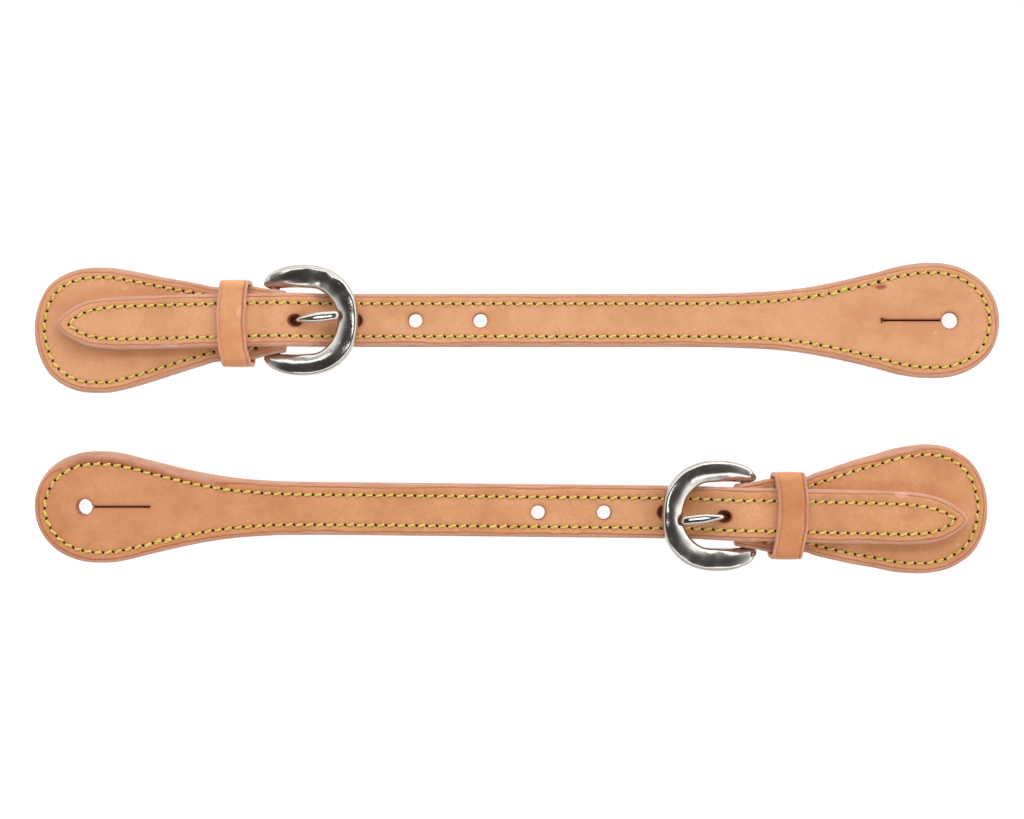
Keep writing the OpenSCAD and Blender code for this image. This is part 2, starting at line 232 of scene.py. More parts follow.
def resample(p, n, closed=True):
    """n points evenly spaced along a polyline."""
    q = np.vstack([p, p[:1]]) if closed else p
    d = np.r_[0, np.cumsum(np.linalg.norm(np.diff(q, axis=0), axis=1))]
    t = np.linspace(0, d[-1], n + 1)[:-1] if closed else np.linspace(0, d[-1], n)
    return np.c_[np.interp(t, d, q[:, 0]), np.interp(t, d, q[:, 1])]


def length(p, closed=True):
    q = np.vstack([p, p[:1]]) if closed else p
    return np.linalg.norm(np.diff(q, axis=0), axis=1).sum()


def normals(p, closed=True):
    """Unit normals to the left of a polyline: inwards on a loop that runs anticlockwise."""
    if closed:
        t = np.roll(p, -1, 0) - np.roll(p, 1, 0)
    else:
        t = np.gradient(p, axis=0)
    t /= np.linalg.norm(t, axis=1)[:, None] + 1e-12
    return np.c_[-t[:, 1], t[:, 0]]


def near(pts, loop, closed=True):
    """Distance to a polyline and the place along it, as a fraction of its length."""
    a = loop
    b = np.roll(loop, -1, 0) if closed else loop[1:]
    if not closed:
        a = loop[:-1]
    ab = b - a
    l2 = (ab**2).sum(1) + 1e-18
    seg = np.sqrt(l2)
    start = np.r_[0, np.cumsum(seg)[:-1]]
    total = seg.sum()
    dist = np.empty(len(pts))
    at = np.empty(len(pts))
    for i in range(0, len(pts), 2000):
        q = pts[i:i + 2000]
        ap = q[:, None, :] - a[None]
        t = np.clip((ap * ab[None]).sum(2) / l2[None], 0, 1)
        d = np.linalg.norm(ap - t[..., None] * ab[None], axis=2)
        k = d.argmin(1)
        r = np.arange(len(q))
        dist[i:i + 2000] = d[r, k]
        at[i:i + 2000] = (start[k] + t[r, k] * seg[k]) / total
    return dist, at


def inside(pts, loop):
    x, y = pts[:, 0], pts[:, 1]
    c = np.zeros(len(pts), bool)
    a = loop
    b = np.roll(loop, -1, 0)
    for (x0, y0), (x1, y1) in zip(a, b):
        if y0 == y1:
            continue
        hit = ((y0 > y) != (y1 > y)) & (x < (x1 - x0) * (y - y0) / (y1 - y0) + x0)
        c ^= hit
    return c


def triangulate(loop, holes, rings, step, margin):
    """A triangle mesh of the outline with its holes, whose edges follow the rings. Returns points, triangles and where each loop's points went."""
    pts, edges = [], []

    def add(p, ok=None, closed=True):
        base = len(pts)
        pts.extend([(float(a), float(b)) for a, b in p])
        n = len(p)
        for i in range(n if closed else n - 1):
            j = (i + 1) % n
            if ok is None or (ok[i] and ok[j]):
                edges.append((base + i, base + j))
        return list(range(base, base + n))

    where = [add(loop)]
    for h in holes:
        where.append(add(h))
    extra = []
    for p, ok, closed in rings:
        d, _ = near(p, loop)
        good = ok & (d > 0.03) & inside(p, loop)
        for h in holes:
            dh, _ = near(p, h)
            good &= (dh > 0.12) & ~inside(p, h)
        idx = np.where(good)[0]
        if len(idx) < 2:
            continue
        base = len(pts)
        back = {int(i): base + k for k, i in enumerate(idx)}
        pts.extend([tuple(map(float, p[i])) for i in idx])
        for i in idx:
            j = (int(i) + 1) % len(p)
            if (closed or i + 1 < len(p)) and j in back and np.linalg.norm(p[i] - p[j]) < 2.2:
                edges.append((back[int(i)], back[j]))
    lo, hi = loop.min(0), loop.max(0)
    gx = np.arange(lo[0], hi[0], step)
    gy = np.arange(lo[1], hi[1], step * 0.87)
    X, Y = np.meshgrid(gx, gy)
    X = X + np.where(np.arange(len(gy)) % 2 == 0, 0, step / 2)[:, None]
    g = np.c_[X.ravel(), Y.ravel()]
    g = g[inside(g, loop)]
    d, _ = near(g, loop)
    g = g[d > margin]
    for h in holes:
        dh, _ = near(g, h)
        g = g[(dh > step * 0.6) & ~inside(g, h)]
    pts.extend([(float(a), float(b)) for a, b in g])
    out = delaunay_2d_cdt([Vector(p) for p in pts], edges, [], 0, 1e-5)
    v = np.array([tuple(p) for p in out[0]], float)
    tri = np.array([list(f) for f in out[2]], int)
    back = {}
    for i, src in enumerate(out[3]):
        for k in src:
            back[k] = i
    c = v[tri].mean(1)
    keep = inside(c, loop)
    for h in holes:
        keep &= ~inside(c, h)
    tri = tri[keep]
    a, b, cc = v[tri[:, 0]], v[tri[:, 1]], v[tri[:, 2]]
    area = (b[:, 0] - a[:, 0]) * (cc[:, 1] - a[:, 1]) - (b[:, 1] - a[:, 1]) * (cc[:, 0] - a[:, 0])
    tri[area < 0] = tri[area < 0][:, ::-1]
    tri = tri[np.abs(area) > 1e-9]
    used = np.unique(tri)
    remap = -np.ones(len(v), int)
    remap[used] = np.arange(len(used))
    where = [[int(remap[back[k]]) for k in w] for w in where]
    return v[used], remap[tri], where


class Sheet:
    """A flat piece of leather: its outline, holes, bevel width and stitch row."""

    def __init__(self, loop, holes, width, row=None, row_closed=True, seed=1):
        self.loop, self.holes, self.width, self.seed = loop, holes, width, seed
        self.row, self.row_closed = row, row_closed
        self.needle = row[:: self.sub(row)] if row is not None else None
        self.slant = None
        if row is not None:
            nn = normals(row, row_closed)[:: self.sub(row)]
            tt = np.c_[nn[:, 1], -nn[:, 0]]
            a = math.radians(-42)
            self.slant = math.cos(a) * tt + math.sin(a) * nn

    SUB = 10

    def sub(self, row):
        return self.SUB

    def rings(self, rich):
        n = normals(self.loop)
        w = self.width
        out = []
        levels = (0.14, 0.4, 0.72, 0.95, 1.07, 1.22, 1.45) if rich else (0.5, 1.0)
        for lv in levels:
            p = self.loop + n * (w * lv)[:, None]
            d, _ = near(p, self.loop)
            ok = (d > w * lv - 0.04) & (w * lv < STITCH_IN - 0.72)
            out.append((p, ok, True))
        for lv in (1.95,) if rich else ():
            p = self.loop + n * lv
            d, _ = near(p, self.loop)
            out.append((p, (d > lv - 0.03) & (w * 1.45 < lv - 0.2), True))
        if self.row is not None:
            rn = normals(self.row, self.row_closed)
            offs = (-0.58, -0.34, -0.12, 0.12, 0.34, 0.58) if rich else (-0.4, 0.0, 0.4)
            row = self.row if rich else self.row[::2]
            rn = rn if rich else rn[::2]
            for o in offs:
                p = row + rn * o
                d, _ = near(p, self.row, self.row_closed)
                out.append((p, d > abs(o) - 0.03, self.row_closed))
        for lv in (4.1, 5.0) if rich else (4.6,):
            p = self.loop + n * lv
            d, _ = near(p, self.loop)
            out.append((p[::2], (d > lv - 0.05)[::2], True))
        if rich:
            for h in self.holes:
                hn = normals(h)
                for o in (0.28, 0.65):
                    p = h - hn * o * SIGN_OF_LOOP(h)
                    d, _ = near(p, h)
                    out.append((p, d > o - 0.04, True))
        return out


def SIGN_OF_LOOP(p):
    q = np.roll(p, -1, 0)
    return 1.0 if (p[:, 0] * q[:, 1] - p[:, 1] * q[:, 0]).sum() > 0 else -1.0


def relief(sheet, v, bevel, with_row=True, soft=1.0):
    """How far below the flat face each point lies, and the masks that the leather's colour uses."""
    d, at = near(v, sheet.loop)
    w = np.interp(at, np.linspace(0, 1, len(sheet.width) + 1), np.r_[sheet.width, sheet.width[:1]])
    x = d / w
    drop = bevel * np.clip(1 - x, 0, 1) ** 1.7
    # crease: a groove at the bevel's inner line; its mask also carries painted shade into the leather's colour
    crease = np.exp(-(((x - 1.02) / 0.14) ** 2))
    drop += 0.15 * soft * crease
    drop -= 0.07 * soft * np.exp(-(((x - 1.35) / 0.22) ** 2))
    edge = np.clip((0.86 - x) / 0.34, 0, 1)
    pit = np.zeros(len(v))
    thread = np.zeros(len(v))
    if with_row and sheet.row is not None:
        ds, _ = near(v, sheet.row, sheet.row_closed)
        drop += 0.20 * soft * np.exp(-((ds / 0.42) ** 2))
        thread = np.exp(-((ds / 0.7) ** 2))
        dn = np.full(len(v), 1e9)
        close = np.where(ds < 1.2)[0]
        for i in range(0, len(close), 2000):
            k = close[i:i + 2000]
            rel = v[k][:, None] - sheet.needle[None]
            al = (rel * sheet.slant[None]).sum(2)
            ac = rel[..., 0] * -sheet.slant[None, :, 1] + rel[..., 1] * sheet.slant[None, :, 0]
            dn[k] = np.sqrt((al / 0.50) ** 2 + (ac / 0.30) ** 2).min(1)
        # pit: the needle holes, whose near-black colour is painted shade inside them
        pit = np.exp(-(dn ** 3) * 0.9)
        drop += 0.75 * np.exp(-((dn / 0.85) ** 2))
    # rim: a dark reddish ring round each hole's mouth, painted shade falling into the hole
    rim = np.zeros(len(v))
    for h in sheet.holes:
        dh, _ = near(v, h)
        rim = np.maximum(rim, np.exp(-(dh / 0.30)))
        drop += 0.16 * np.exp(-((dh / 0.32) ** 1.3))
    drop += 0.035 * ripple2(v[:, 0], v[:, 1], sheet.seed, 9.0) + 0.012 * ripple2(v[:, 0], v[:, 1], sheet.seed + 5, 2.6)
    return drop, {"edge": edge, "crease": crease * soft, "pit": pit, "rim": rim, "row": thread}


def build_ply(name, s, sheet, place, mats, rich_top, rich_bottom, bevel_top, bevel_bottom, low_holes=None, low_scale=None):
    """One layer of leather as a closed mesh. place(points, height) puts it in the strap's own space."""
    low = low_holes or sheet.holes
    fine = dict(step=1.7, margin=6.1)
    rough = dict(step=3.4, margin=5.6)
    vt, tt, wt = triangulate(sheet.loop, sheet.holes, sheet.rings(True) if rich_top else [], **(fine if rich_top else dict(step=3.4, margin=1.5)))
    sb = sheet
    if low is not sheet.holes:
        sb = Sheet(sheet.loop, low, sheet.width, sheet.row, sheet.row_closed, sheet.seed + 9)
    vb, tb, wb = triangulate(sb.loop, sb.holes, sb.rings(False) if rich_bottom else [], **(rough if rich_bottom else dict(step=3.4, margin=1.5)))
    dt, at = relief(sheet, vt, bevel_top, rich_top)
    if not rich_top:
        dt = np.zeros(len(vt))
        at = {k: a * 0 for k, a in at.items()}
        # painted shade: the lining's hidden top is darkened round the first two holes, where it shows in their depth
        for h_ in sheet.holes[:2]:
            at["rim"] = np.maximum(at["rim"], np.exp(-((near(vt, h_)[0] / 3.0) ** 2)))
    db, ab = relief(sb, vb, bevel_bottom, rich_bottom, 0.7)
    if not rich_bottom:
        db = np.zeros(len(vb))
        ab = {k: a * 0 for k, a in ab.items()}
    verts = [place(vt, PLY - dt), place(vb, db)]
    attrs = {k: [at[k], ab[k]] for k in at}
    faces = [tt, tb[:, ::-1] + len(vt)]
    nv = len(vt) + len(vb)
    face_list = [list(f) for f in faces[0]] + [list(f) for f in faces[1]]
    for li, (a, b) in enumerate(zip(wt, wb)):
        outer = li == 0
        lt = sheet.loop if outer else sheet.holes[li - 1]
        lb = sb.loop if outer else sb.holes[li - 1]
        n = len(lt)
        ht, hb = (PLY - dt)[a], db[b]
        nt = normals(lt)
        k = 3 if outer else 2
        cols = [list(a)]
        slit = np.zeros(n)
        if not outer and np.ptp(lt[:, 0]) > 12:
            off_mid = np.abs(lt[:, 1] - np.median(lt[:, 1])) > 0.9
            slit = (np.linalg.norm(lt - lt[off_mid].mean(0), axis=1) > 2.7) * 1.0
        for j in range(1, k + 1):
            f = j / (k + 1.0)
            p = lt * (1 - f) + lb * f
            if outer:
                bulge = 0.10 * math.sin(pi * f) + 0.02 * ripple(np.arange(n) * 0.9, sheet.seed + j, 3.0)
                p = p - nt * bulge[:, None] if isinstance(bulge, np.ndarray) else p - nt * bulge
            h = ht * (1 - f) + hb * f
            verts.append(place(p, h))
            # walls: outer side walls get painted shade through crease. Hole walls are painted dark brown through rim
            # and darker towards the bottom through pit, and slit walls near black: painted shade inside the cuts
            for key in attrs:
                attrs[key].append((slit if outer or slit.any() else np.full(n, 0.16 + 0.34 * f)) if key == "pit" else np.full(n, {
                    "edge": 1.0, "rim": 0.0 if outer else 0.9, "crease": 0.28 if outer else 0.0}.get(key, 0.0)))
            cols.append(list(range(nv, nv + n)))
            nv += n
        cols.append([x + len(vt) for x in b])
        ccw = SIGN_OF_LOOP(lt) > 0
        for c0, c1 in zip(cols[:-1], cols[1:]):
            for i in range(n):
                j = (i + 1) % n
                q = [c0[i], c1[i], c1[j], c0[j]]
                if not (ccw == outer):
                    q = q[::-1]
                if not outer:
                    q = q if ccw else q
                face_list.append(q)
    v = np.vstack(verts)
    att = {k: np.concatenate(x) for k, x in attrs.items()}
    o = make(name, world(s, v), face_list, mats, att)
    import bmesh
    bm = bmesh.new()
    bm.from_mesh(o.data)
    bmesh.ops.recalc_face_normals(bm, faces=bm.faces)
    bm.to_mesh(o.data)
    bm.free()
    return o


def keyhole(u, v, r, direction, slit, w, serif):
    """A round hole with a slit running from it, as one loop."""
    d = math.asin(min(0.9, w / 2 / r))
    a = np.linspace(d, 2 * pi - d, 30)
    circle = np.c_[u + direction * r * np.cos(a), v + r * np.sin(a)]
    start = r * math.cos(d)
    xs = np.linspace(start, slit, 14)[1:]
    low = np.c_[u + direction * xs, np.full(len(xs), v - w / 2)]
    high = low[::-1].copy()
    high[:, 1] = v + w / 2
    if serif:
        e = u + direction * slit
        f = direction * 0.34 * serif
        end = np.array([[e, v - 0.75 * serif], [e + f, v - 0.8 * serif], [e + f, v + 0.8 * serif], [e, v + 0.75 * serif]])
        return np.vstack([circle, low, end, high])
    tip = np.array([[u + direction * (slit + w * 0.45), v]])
    return np.vstack([circle, low, tip, high])


def round_hole(u, v, r, n=34, ru=None):
    a = np.linspace(0, 2 * pi, n, endpoint=False)
    return np.c_[u + (ru or r) * np.cos(a), v + r * np.sin(a)]


def thread_tube(name, s, body, nodes, holes, place, top, lane=0.0, skip=(), extra=(), closed=True, sides=9, stations=9,
                slant=0.30, width=0.40, height=0.34, rise=0.18, material=None, seed=3, keep=None):
    """Every stitch of a row as its own short twisted length of thread, sunk into its needle holes."""
    r = np.random.RandomState(seed)
    n = len(holes)
    verts, faces, tw = [], [], []
    count = 0
    jobs = [(i, 0.0, 1.0) for i in range(n if closed else n - 1)] + [(i, o, 1.0) for i, o in extra]
    for i, side, _ in jobs:
        if i in skip:
            continue
        a, b = holes[i], holes[(i + 1) % n]
        L = np.linalg.norm(b - a)
        if L > 5.5 or (keep is not None and not keep(0.5 * (a + b))):
            continue
        t = (b - a) / L
        nn = np.array([-t[1], t[0]])
        sl = slant * r.uniform(0.75, 1.25)
        g = 0.40 * r.uniform(0.85, 1.15)
        q = np.linspace(0, 1, stations)
        along = g + q * (L - 2 * g)
        lat = sl * (2 * q - 1) + 0.05 * r.uniform(-1, 1) + side
        arch = np.minimum(1, np.sin(pi * np.clip(q * 0.94 + 0.03, 0, 1)) * 2.0) ** 0.8
        h = -0.45 + (rise + 0.45) * arch + (0.12 if side else 0.0)
        rw = width * (0.55 + 0.45 * arch) * r.uniform(0.93, 1.07)
        rh = height * (0.6 + 0.4 * arch)
        turn = r.uniform(0, 2 * pi)
        for k in range(stations):
            phi = np.linspace(0, 2 * pi, sides, endpoint=False)
            lobes = 1 + 0.13 * np.cos(3 * (phi - turn) - q[k] * 9.0)
            off = lat[k] + rw[k] * lobes * np.cos(phi)
            hh = h[k] + rh[k] * lobes * np.sin(phi)
            p = a + t * along[k] + nn * off[:, None]
            verts.append(place(p, hh))
            # twist: the phase of the ply lobes, used to paint shade in the grooves and highlight on the crests
            tw.append(np.cos(3 * (phi - turn) - q[k] * 9.0) * 0.5 + 0.5)
        base = count
        for k in range(stations - 1):
            for j in range(sides):
                a0, a1 = base + k * sides + j, base + k * sides + (j + 1) % sides
                faces.append([a0, a1, a1 + sides, a0 + sides] if top else [a0, a0 + sides, a1 + sides, a1])
        faces.append([base + j for j in range(sides)][::-1] if top else [base + j for j in range(sides)])
        e = base + (stations - 1) * sides
        faces.append([e + j for j in range(sides)] if top else [e + j for j in range(sides)][::-1])
        count += stations * sides
    o = make(name, world(s, np.vstack(verts)), faces, [material], {"twist": np.concatenate(tw)})
    import bmesh
    bm = bmesh.new()
    bm.from_mesh(o.data)
    bmesh.ops.recalc_face_normals(bm, faces=bm.faces)
    bm.to_mesh(o.data)
    bm.free()
    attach(o, body)
    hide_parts(*nodes)
    return o


# ---------------------------------------------------------------- materials
class Tree:
    def __init__(self, name):
        self.mat = bpy.data.materials.new(name)
        self.mat.use_nodes = True
        self.t = self.mat.node_tree
        self.b = self.t.nodes["Principled BSDF"]
        self.coord = self.t.nodes.new("ShaderNodeTexCoord").outputs["Object"]

    def node(self, kind, **inputs):
        n = self.t.nodes.new(kind)
        for k, v in inputs.items():
            if hasattr(n, k) and k not in n.inputs:
                setattr(n, k, v)
        return n

    def put(self, socket, value):
        if isinstance(value, bpy.types.NodeSocket):
            self.t.links.new(value, socket)
        else:
            socket.default_value = value

    def noise(self, scale, detail=4.0, rough=0.55, stretch=None, distort=0.0):
        n = self.t.nodes.new("ShaderNodeTexNoise")
        n.inputs["Scale"].default_value = scale
        n.inputs["Detail"].default_value = detail
        n.inputs["Roughness"].default_value = rough
        n.inputs["Distortion"].default_value = distort
        src = self.coord
        if stretch:
            m = self.t.nodes.new("ShaderNodeMapping")
            m.inputs["Scale"].default_value = stretch
            self.t.links.new(src, m.inputs["Vector"])
            src = m.outputs["Vector"]
        self.t.links.new(src, n.inputs["Vector"])
        return n.outputs["Fac"]

    def cells(self, scale, feature="F1", rand=1.0):
        n = self.t.nodes.new("ShaderNodeTexVoronoi")
        n.feature = feature
        n.inputs["Scale"].default_value = scale
        n.inputs["Randomness"].default_value = rand
        self.t.links.new(self.coord, n.inputs["Vector"])
        return n.outputs["Distance"]

    def spot(self, x, y, rx, ry, strength=0.75):
        """A ragged oval mark centred at x, y (mm)."""
        n = self.t.nodes.new("ShaderNodeSeparateXYZ")
        self.t.links.new(self.coord, n.inputs[0])
        dx = self.math("MULTIPLY", self.math("SUBTRACT", n.outputs["X"], x / 1000), 1000 / rx)
        dy = self.math("MULTIPLY", self.math("SUBTRACT", n.outputs["Y"], y / 1000), 1000 / ry)
        d = self.math("ADD", self.math("MULTIPLY", dx, dx), self.math("MULTIPLY", dy, dy))
        d = self.math("ADD", d, self.math("MULTIPLY", self.noise(900, 3.0, 0.6), 1.1))
        return self.span(d, 0.75, 1.35, strength, 0.0)

    def attr(self, name):
        n = self.t.nodes.new("ShaderNodeAttribute")
        n.attribute_name = name
        return n.outputs["Fac"]

    def math(self, op, a, b=0.0, clamp=False):
        n = self.t.nodes.new("ShaderNodeMath")
        n.operation = op
        n.use_clamp = clamp
        self.put(n.inputs[0], a)
        self.put(n.inputs[1], b)
        return n.outputs[0]

    def ramp(self, fac, stops, mode="LINEAR"):
        n = self.t.nodes.new("ShaderNodeValToRGB")
        n.color_ramp.interpolation = mode
        while len(n.color_ramp.elements) < len(stops):
            n.color_ramp.elements.new(0.5)
        for e, (pos, c) in zip(n.color_ramp.elements, stops):
            e.position = pos
            e.color = (*c, 1) if len(c) == 3 else c
        self.t.links.new(fac, n.inputs[0])
        return n.outputs["Color"]

    def span(self, fac, lo, hi, a=0.0, b=1.0):
        n = self.t.nodes.new("ShaderNodeMapRange")
        n.clamp = True
        self.put(n.inputs["Value"], fac)
        n.inputs["From Min"].default_value = lo
        n.inputs["From Max"].default_value = hi
        n.inputs["To Min"].default_value = a
        n.inputs["To Max"].default_value = b
        return n.outputs["Result"]

    def mix(self, fac, a, b, mode="MIX"):
        n = self.t.nodes.new("ShaderNodeMix")
        n.data_type = "RGBA"
        n.blend_type = mode
        self.put(n.inputs["Factor"], fac)
        for sock, v in ((n.inputs["A"], a), (n.inputs["B"], b)):
            pass
        ins = [i for i in n.inputs if i.type == "RGBA"]
        self.put(ins[0], a if isinstance(a, bpy.types.NodeSocket) else (*a, 1))
        self.put(ins[1], b if isinstance(b, bpy.types.NodeSocket) else (*b, 1))
        return [x for x in n.outputs if x.type == "RGBA"][0]

    def bump(self, height, distance, strength=1.0, after=None):
        n = self.t.nodes.new("ShaderNodeBump")
        n.inputs["Distance"].default_value = distance
        n.inputs["Strength"].default_value = strength
        self.t.links.new(height, n.inputs["Height"])
        if after is not None:
            self.t.links.new(after, n.inputs["Normal"])
        return n.outputs["Normal"]


def leather(name, face, dark, light, edge, edge_dark, rough=0.5, raw=False, marks=(), x_tone=None):
    m = Tree(name)
    big = m.noise(38, 3.0, 0.55)
    mid = m.noise(170, 4.0, 0.6, distort=0.4)
    fine = m.noise(1300, 3.0, 0.6)
    streak = m.noise(60, 4.0, 0.6, stretch=(0.35, 2.2, 1.0))
    tone = m.math("ADD", m.math("MULTIPLY", big, 0.45), m.math("ADD", m.math("MULTIPLY", mid, 0.35), m.math("MULTIPLY", streak, 0.20)))
    c = m.ramp(tone, [(0.40, dark), (0.50, face), (0.61, light)])
    if x_tone:
        # the colour is paler along x between the two given positions
        at = m.t.nodes.new("ShaderNodeSeparateXYZ")
        m.t.links.new(m.coord, at.inputs[0])
        pale = [tuple(a * b for a, b in zip(col, x_tone[2])) for col in (dark, face, light)]
        c = m.mix(m.span(at.outputs["X"], x_tone[0] / 1000, x_tone[1] / 1000), c, m.ramp(tone, list(zip((0.40, 0.50, 0.61), pale))))
    c = m.mix(m.span(fine, 0.35, 0.75, 0.0, 0.42), c, tuple(x * y for x, y in zip(face, (0.84, 0.76, 0.70))))
    # small darker pores and marks
    spot = m.span(m.cells(260), 0.02, 0.16, 1.0, 0.0)
    c = m.mix(m.math("MULTIPLY", spot, m.span(mid, 0.52, 0.70, 0.0, 0.35)), c, tuple(x * y for x, y in zip(dark, (0.82, 0.62, 0.50))))
    # a darker band along the stitch row
    c = m.mix(m.math("MULTIPLY", m.attr("row"), 0.50), c, tuple(x * y for x, y in zip(face, (0.84, 0.70, 0.60))))
    # bevelled and rubbed edge, pinker than the face, in fine layers
    layers = m.noise(420, 5.0, 0.7, stretch=(0.25, 0.25, 6.0))
    e = m.ramp(layers, [(0.30, edge_dark), (0.52, edge), (0.75, tuple(min(1, x * 1.10) for x in edge))])
    c = m.mix(m.attr("edge"), c, e)
    # painted shade: the crease groove, and the side walls through their crease value, are darkened where shade falls in
    # them
    c = m.mix(m.math("MULTIPLY", m.attr("crease"), m.span(big, 0.35, 0.65, 0.45, 0.95)), c, tuple(x * y for x, y in zip(face, (0.50, 0.26, 0.16))))
    # marks left by handling: scuffs, a nick beside the seam
    for x, y, rx, ry, colour in marks:
        c = m.mix(m.spot(x, y, rx, ry, 0.5 if colour is PALE else 0.95), c, colour)
    # painted shade: dark reddish brown round and inside the holes
    c = m.mix(m.attr("rim"), c, (0.30, 0.075, 0.028))
    # painted shade: needle holes and slits are painted near black, and their shine is taken down below
    c = m.mix(m.span(m.attr("pit"), 0.18, 0.62), c, (0.028, 0.0075, 0.0035))
    m.put(m.b.inputs["Base Color"], c)
    m.put(m.b.inputs["Roughness"], m.span(m.math("ADD", mid, m.math("MULTIPLY", m.attr("edge"), 0.25)), 0.3, 0.9, rough - 0.07, rough + 0.14))
    m.put(m.b.inputs["Specular IOR Level"], m.span(m.attr("pit"), 0.0, 0.5, 0.38, 0.04))
    if not raw:
        m.put(m.b.inputs["Coat Weight"], m.span(m.attr("pit"), 0.0, 0.5, 0.06, 0.0))
        m.b.inputs["Coat Roughness"].default_value = 0.35
    grain = m.cells(1700, "SMOOTH_F1")
    n = m.bump(grain, 0.00005 if not raw else 0.0001, 0.45)
    n = m.bump(m.noise(700, 5.0, 0.65), 0.00008 if not raw else 0.0002, 0.55, n)
    n = m.bump(m.noise(120, 3.0, 0.5), 0.00022, 0.5, n)
    m.put(m.b.inputs["Normal"], n)
    return m.mat


PALE, RUST, INK = (0.80, 0.47, 0.36), (0.36, 0.085, 0.035), (0.040, 0.016, 0.010)
MAT = {}
MAT["outer"] = (
    leather("leather_tan", (0.725, 0.350, 0.173), (0.655, 0.292, 0.133), (0.780, 0.401, 0.212), (0.585, 0.315, 0.222), (0.455, 0.215, 0.140), marks=(
        (109.2, 39.3, 2.3, 1.05, RUST), (108.6, 40.9, 1.7, 0.7, INK), (125.6, 25.5, 0.7, 0.8, PALE), (-103.8, 21.6, 4.0, 0.6, PALE),
        (-117.5, 38.9, 1.6, 0.7, PALE))),
    leather("leather_tan_b", (0.622, 0.260, 0.115), (0.545, 0.207, 0.086), (0.682, 0.305, 0.145), (0.585, 0.310, 0.215), (0.455, 0.210, 0.135), marks=(
        (114.5, -22.9, 2.6, 1.2, PALE), (132.3, -38.0, 0.8, 0.7, PALE)), x_tone=(-100.0, -58.0, (1.10, 1.21, 1.24))),
)
MAT["lining"] = leather("leather_lining", (0.60, 0.31, 0.185), (0.52, 0.25, 0.14), (0.68, 0.37, 0.23), (0.72, 0.37, 0.26), (0.58, 0.275, 0.18), 0.68, raw=True)
MAT["keeper_b"] = leather("leather_keeper_b", (0.610, 0.240, 0.096), (0.530, 0.194, 0.070), (0.668, 0.284, 0.120), (0.60, 0.305, 0.210), (0.47, 0.215, 0.135), 0.47)
MAT["keeper"] = leather("leather_keeper", (0.690, 0.300, 0.132), (0.600, 0.243, 0.096), (0.755, 0.355, 0.165), (0.62, 0.320, 0.225), (0.49, 0.225, 0.145), 0.47, marks=((-82.4, 31.2, 1.0, 2.2, PALE),))


def thread_material():
    m = Tree("thread_yellow")
    tw = m.attr("twist")
    # painted shade and painted highlight: the grooves between plies are painted dark, the crests of the plies bright
    c = m.ramp(tw, [(0.0, (0.31, 0.205, 0.020)), (0.35, (0.64, 0.450, 0.060)), (1.0, (0.83, 0.665, 0.175))])
    v = m.noise(260, 3.0, 0.6)
    # painted glints: random patches of the pale highlight colour on the thread
    c = m.mix(m.span(v, 0.35, 0.70, 0.0, 0.40), c, (0.90, 0.80, 0.24))
    fib = m.noise(5200, 3.0, 0.7)
    c = m.mix(m.span(fib, 0.5, 0.8, 0.0, 0.25), c, (0.40, 0.29, 0.03))
    m.put(m.b.inputs["Base Color"], c)
    m.b.inputs["Roughness"].default_value = 0.42
    m.b.inputs["Specular IOR Level"].default_value = 0.45
    m.b.inputs["Sheen Weight"].default_value = 0.25
    m.b.inputs["Sheen Roughness"].default_value = 0.4
    m.put(m.b.inputs["Normal"], m.bump(fib, 0.00004, 0.5))
    return m.mat


def nickel_material():
    m = Tree("nickel_polished")
    cloud = m.noise(140, 4.0, 0.6)
    scr = m.noise(900, 4.0, 0.7, stretch=(1.0, 6.0, 1.0))
    c = m.ramp(cloud, [(0.3, (0.45, 0.42, 0.385)), (0.6, (0.54, 0.51, 0.475)), (0.8, (0.61, 0.585, 0.55))])
    m.put(m.b.inputs["Base Color"], c)
    m.b.inputs["Metallic"].default_value = 1.0
    m.put(m.b.inputs["Roughness"], m.span(m.math("ADD", m.math("MULTIPLY", cloud, 0.6), m.math("MULTIPLY", scr, 0.4)), 0.35, 0.7, 0.08, 0.24))
    patch = m.span(m.noise(110, 2.0, 0.5), 0.45, 0.62)
    n = m.bump(m.noise(300, 2.0, 0.5), 0.00010, 0.5)
    n = m.bump(m.math("MULTIPLY", m.noise(1900, 4.0, 0.65), m.math("ADD", patch, 0.05)), 0.00004, 0.5, n)
    m.put(m.b.inputs["Normal"], n)
    return m.mat


MAT["thread"] = thread_material()
MAT["nickel"] = nickel_material()


# ---------------------------------------------------------------- the straps
def long_outline(s):
    r = np.linspace(0, math.sqrt(60), 110)
    a = TIP_U[s] + r**2
    b = np.linspace(a[-1] + 1, 100, 100)
    r2 = np.linspace(math.sqrt(LONG_U[s] - 101), 0, 170)
    c = LONG_U[s] - r2**2
    u = np.concatenate([a, b, c])
    mid, half = long_mid[s](u), long_half(s, u)
    low = np.c_[u, mid - half]
    high = np.c_[u, mid + half][::-1][1:-1]
    loop = np.vstack([low, high])
    n = int(round(length(loop) / 0.92))
    return resample(loop, n)


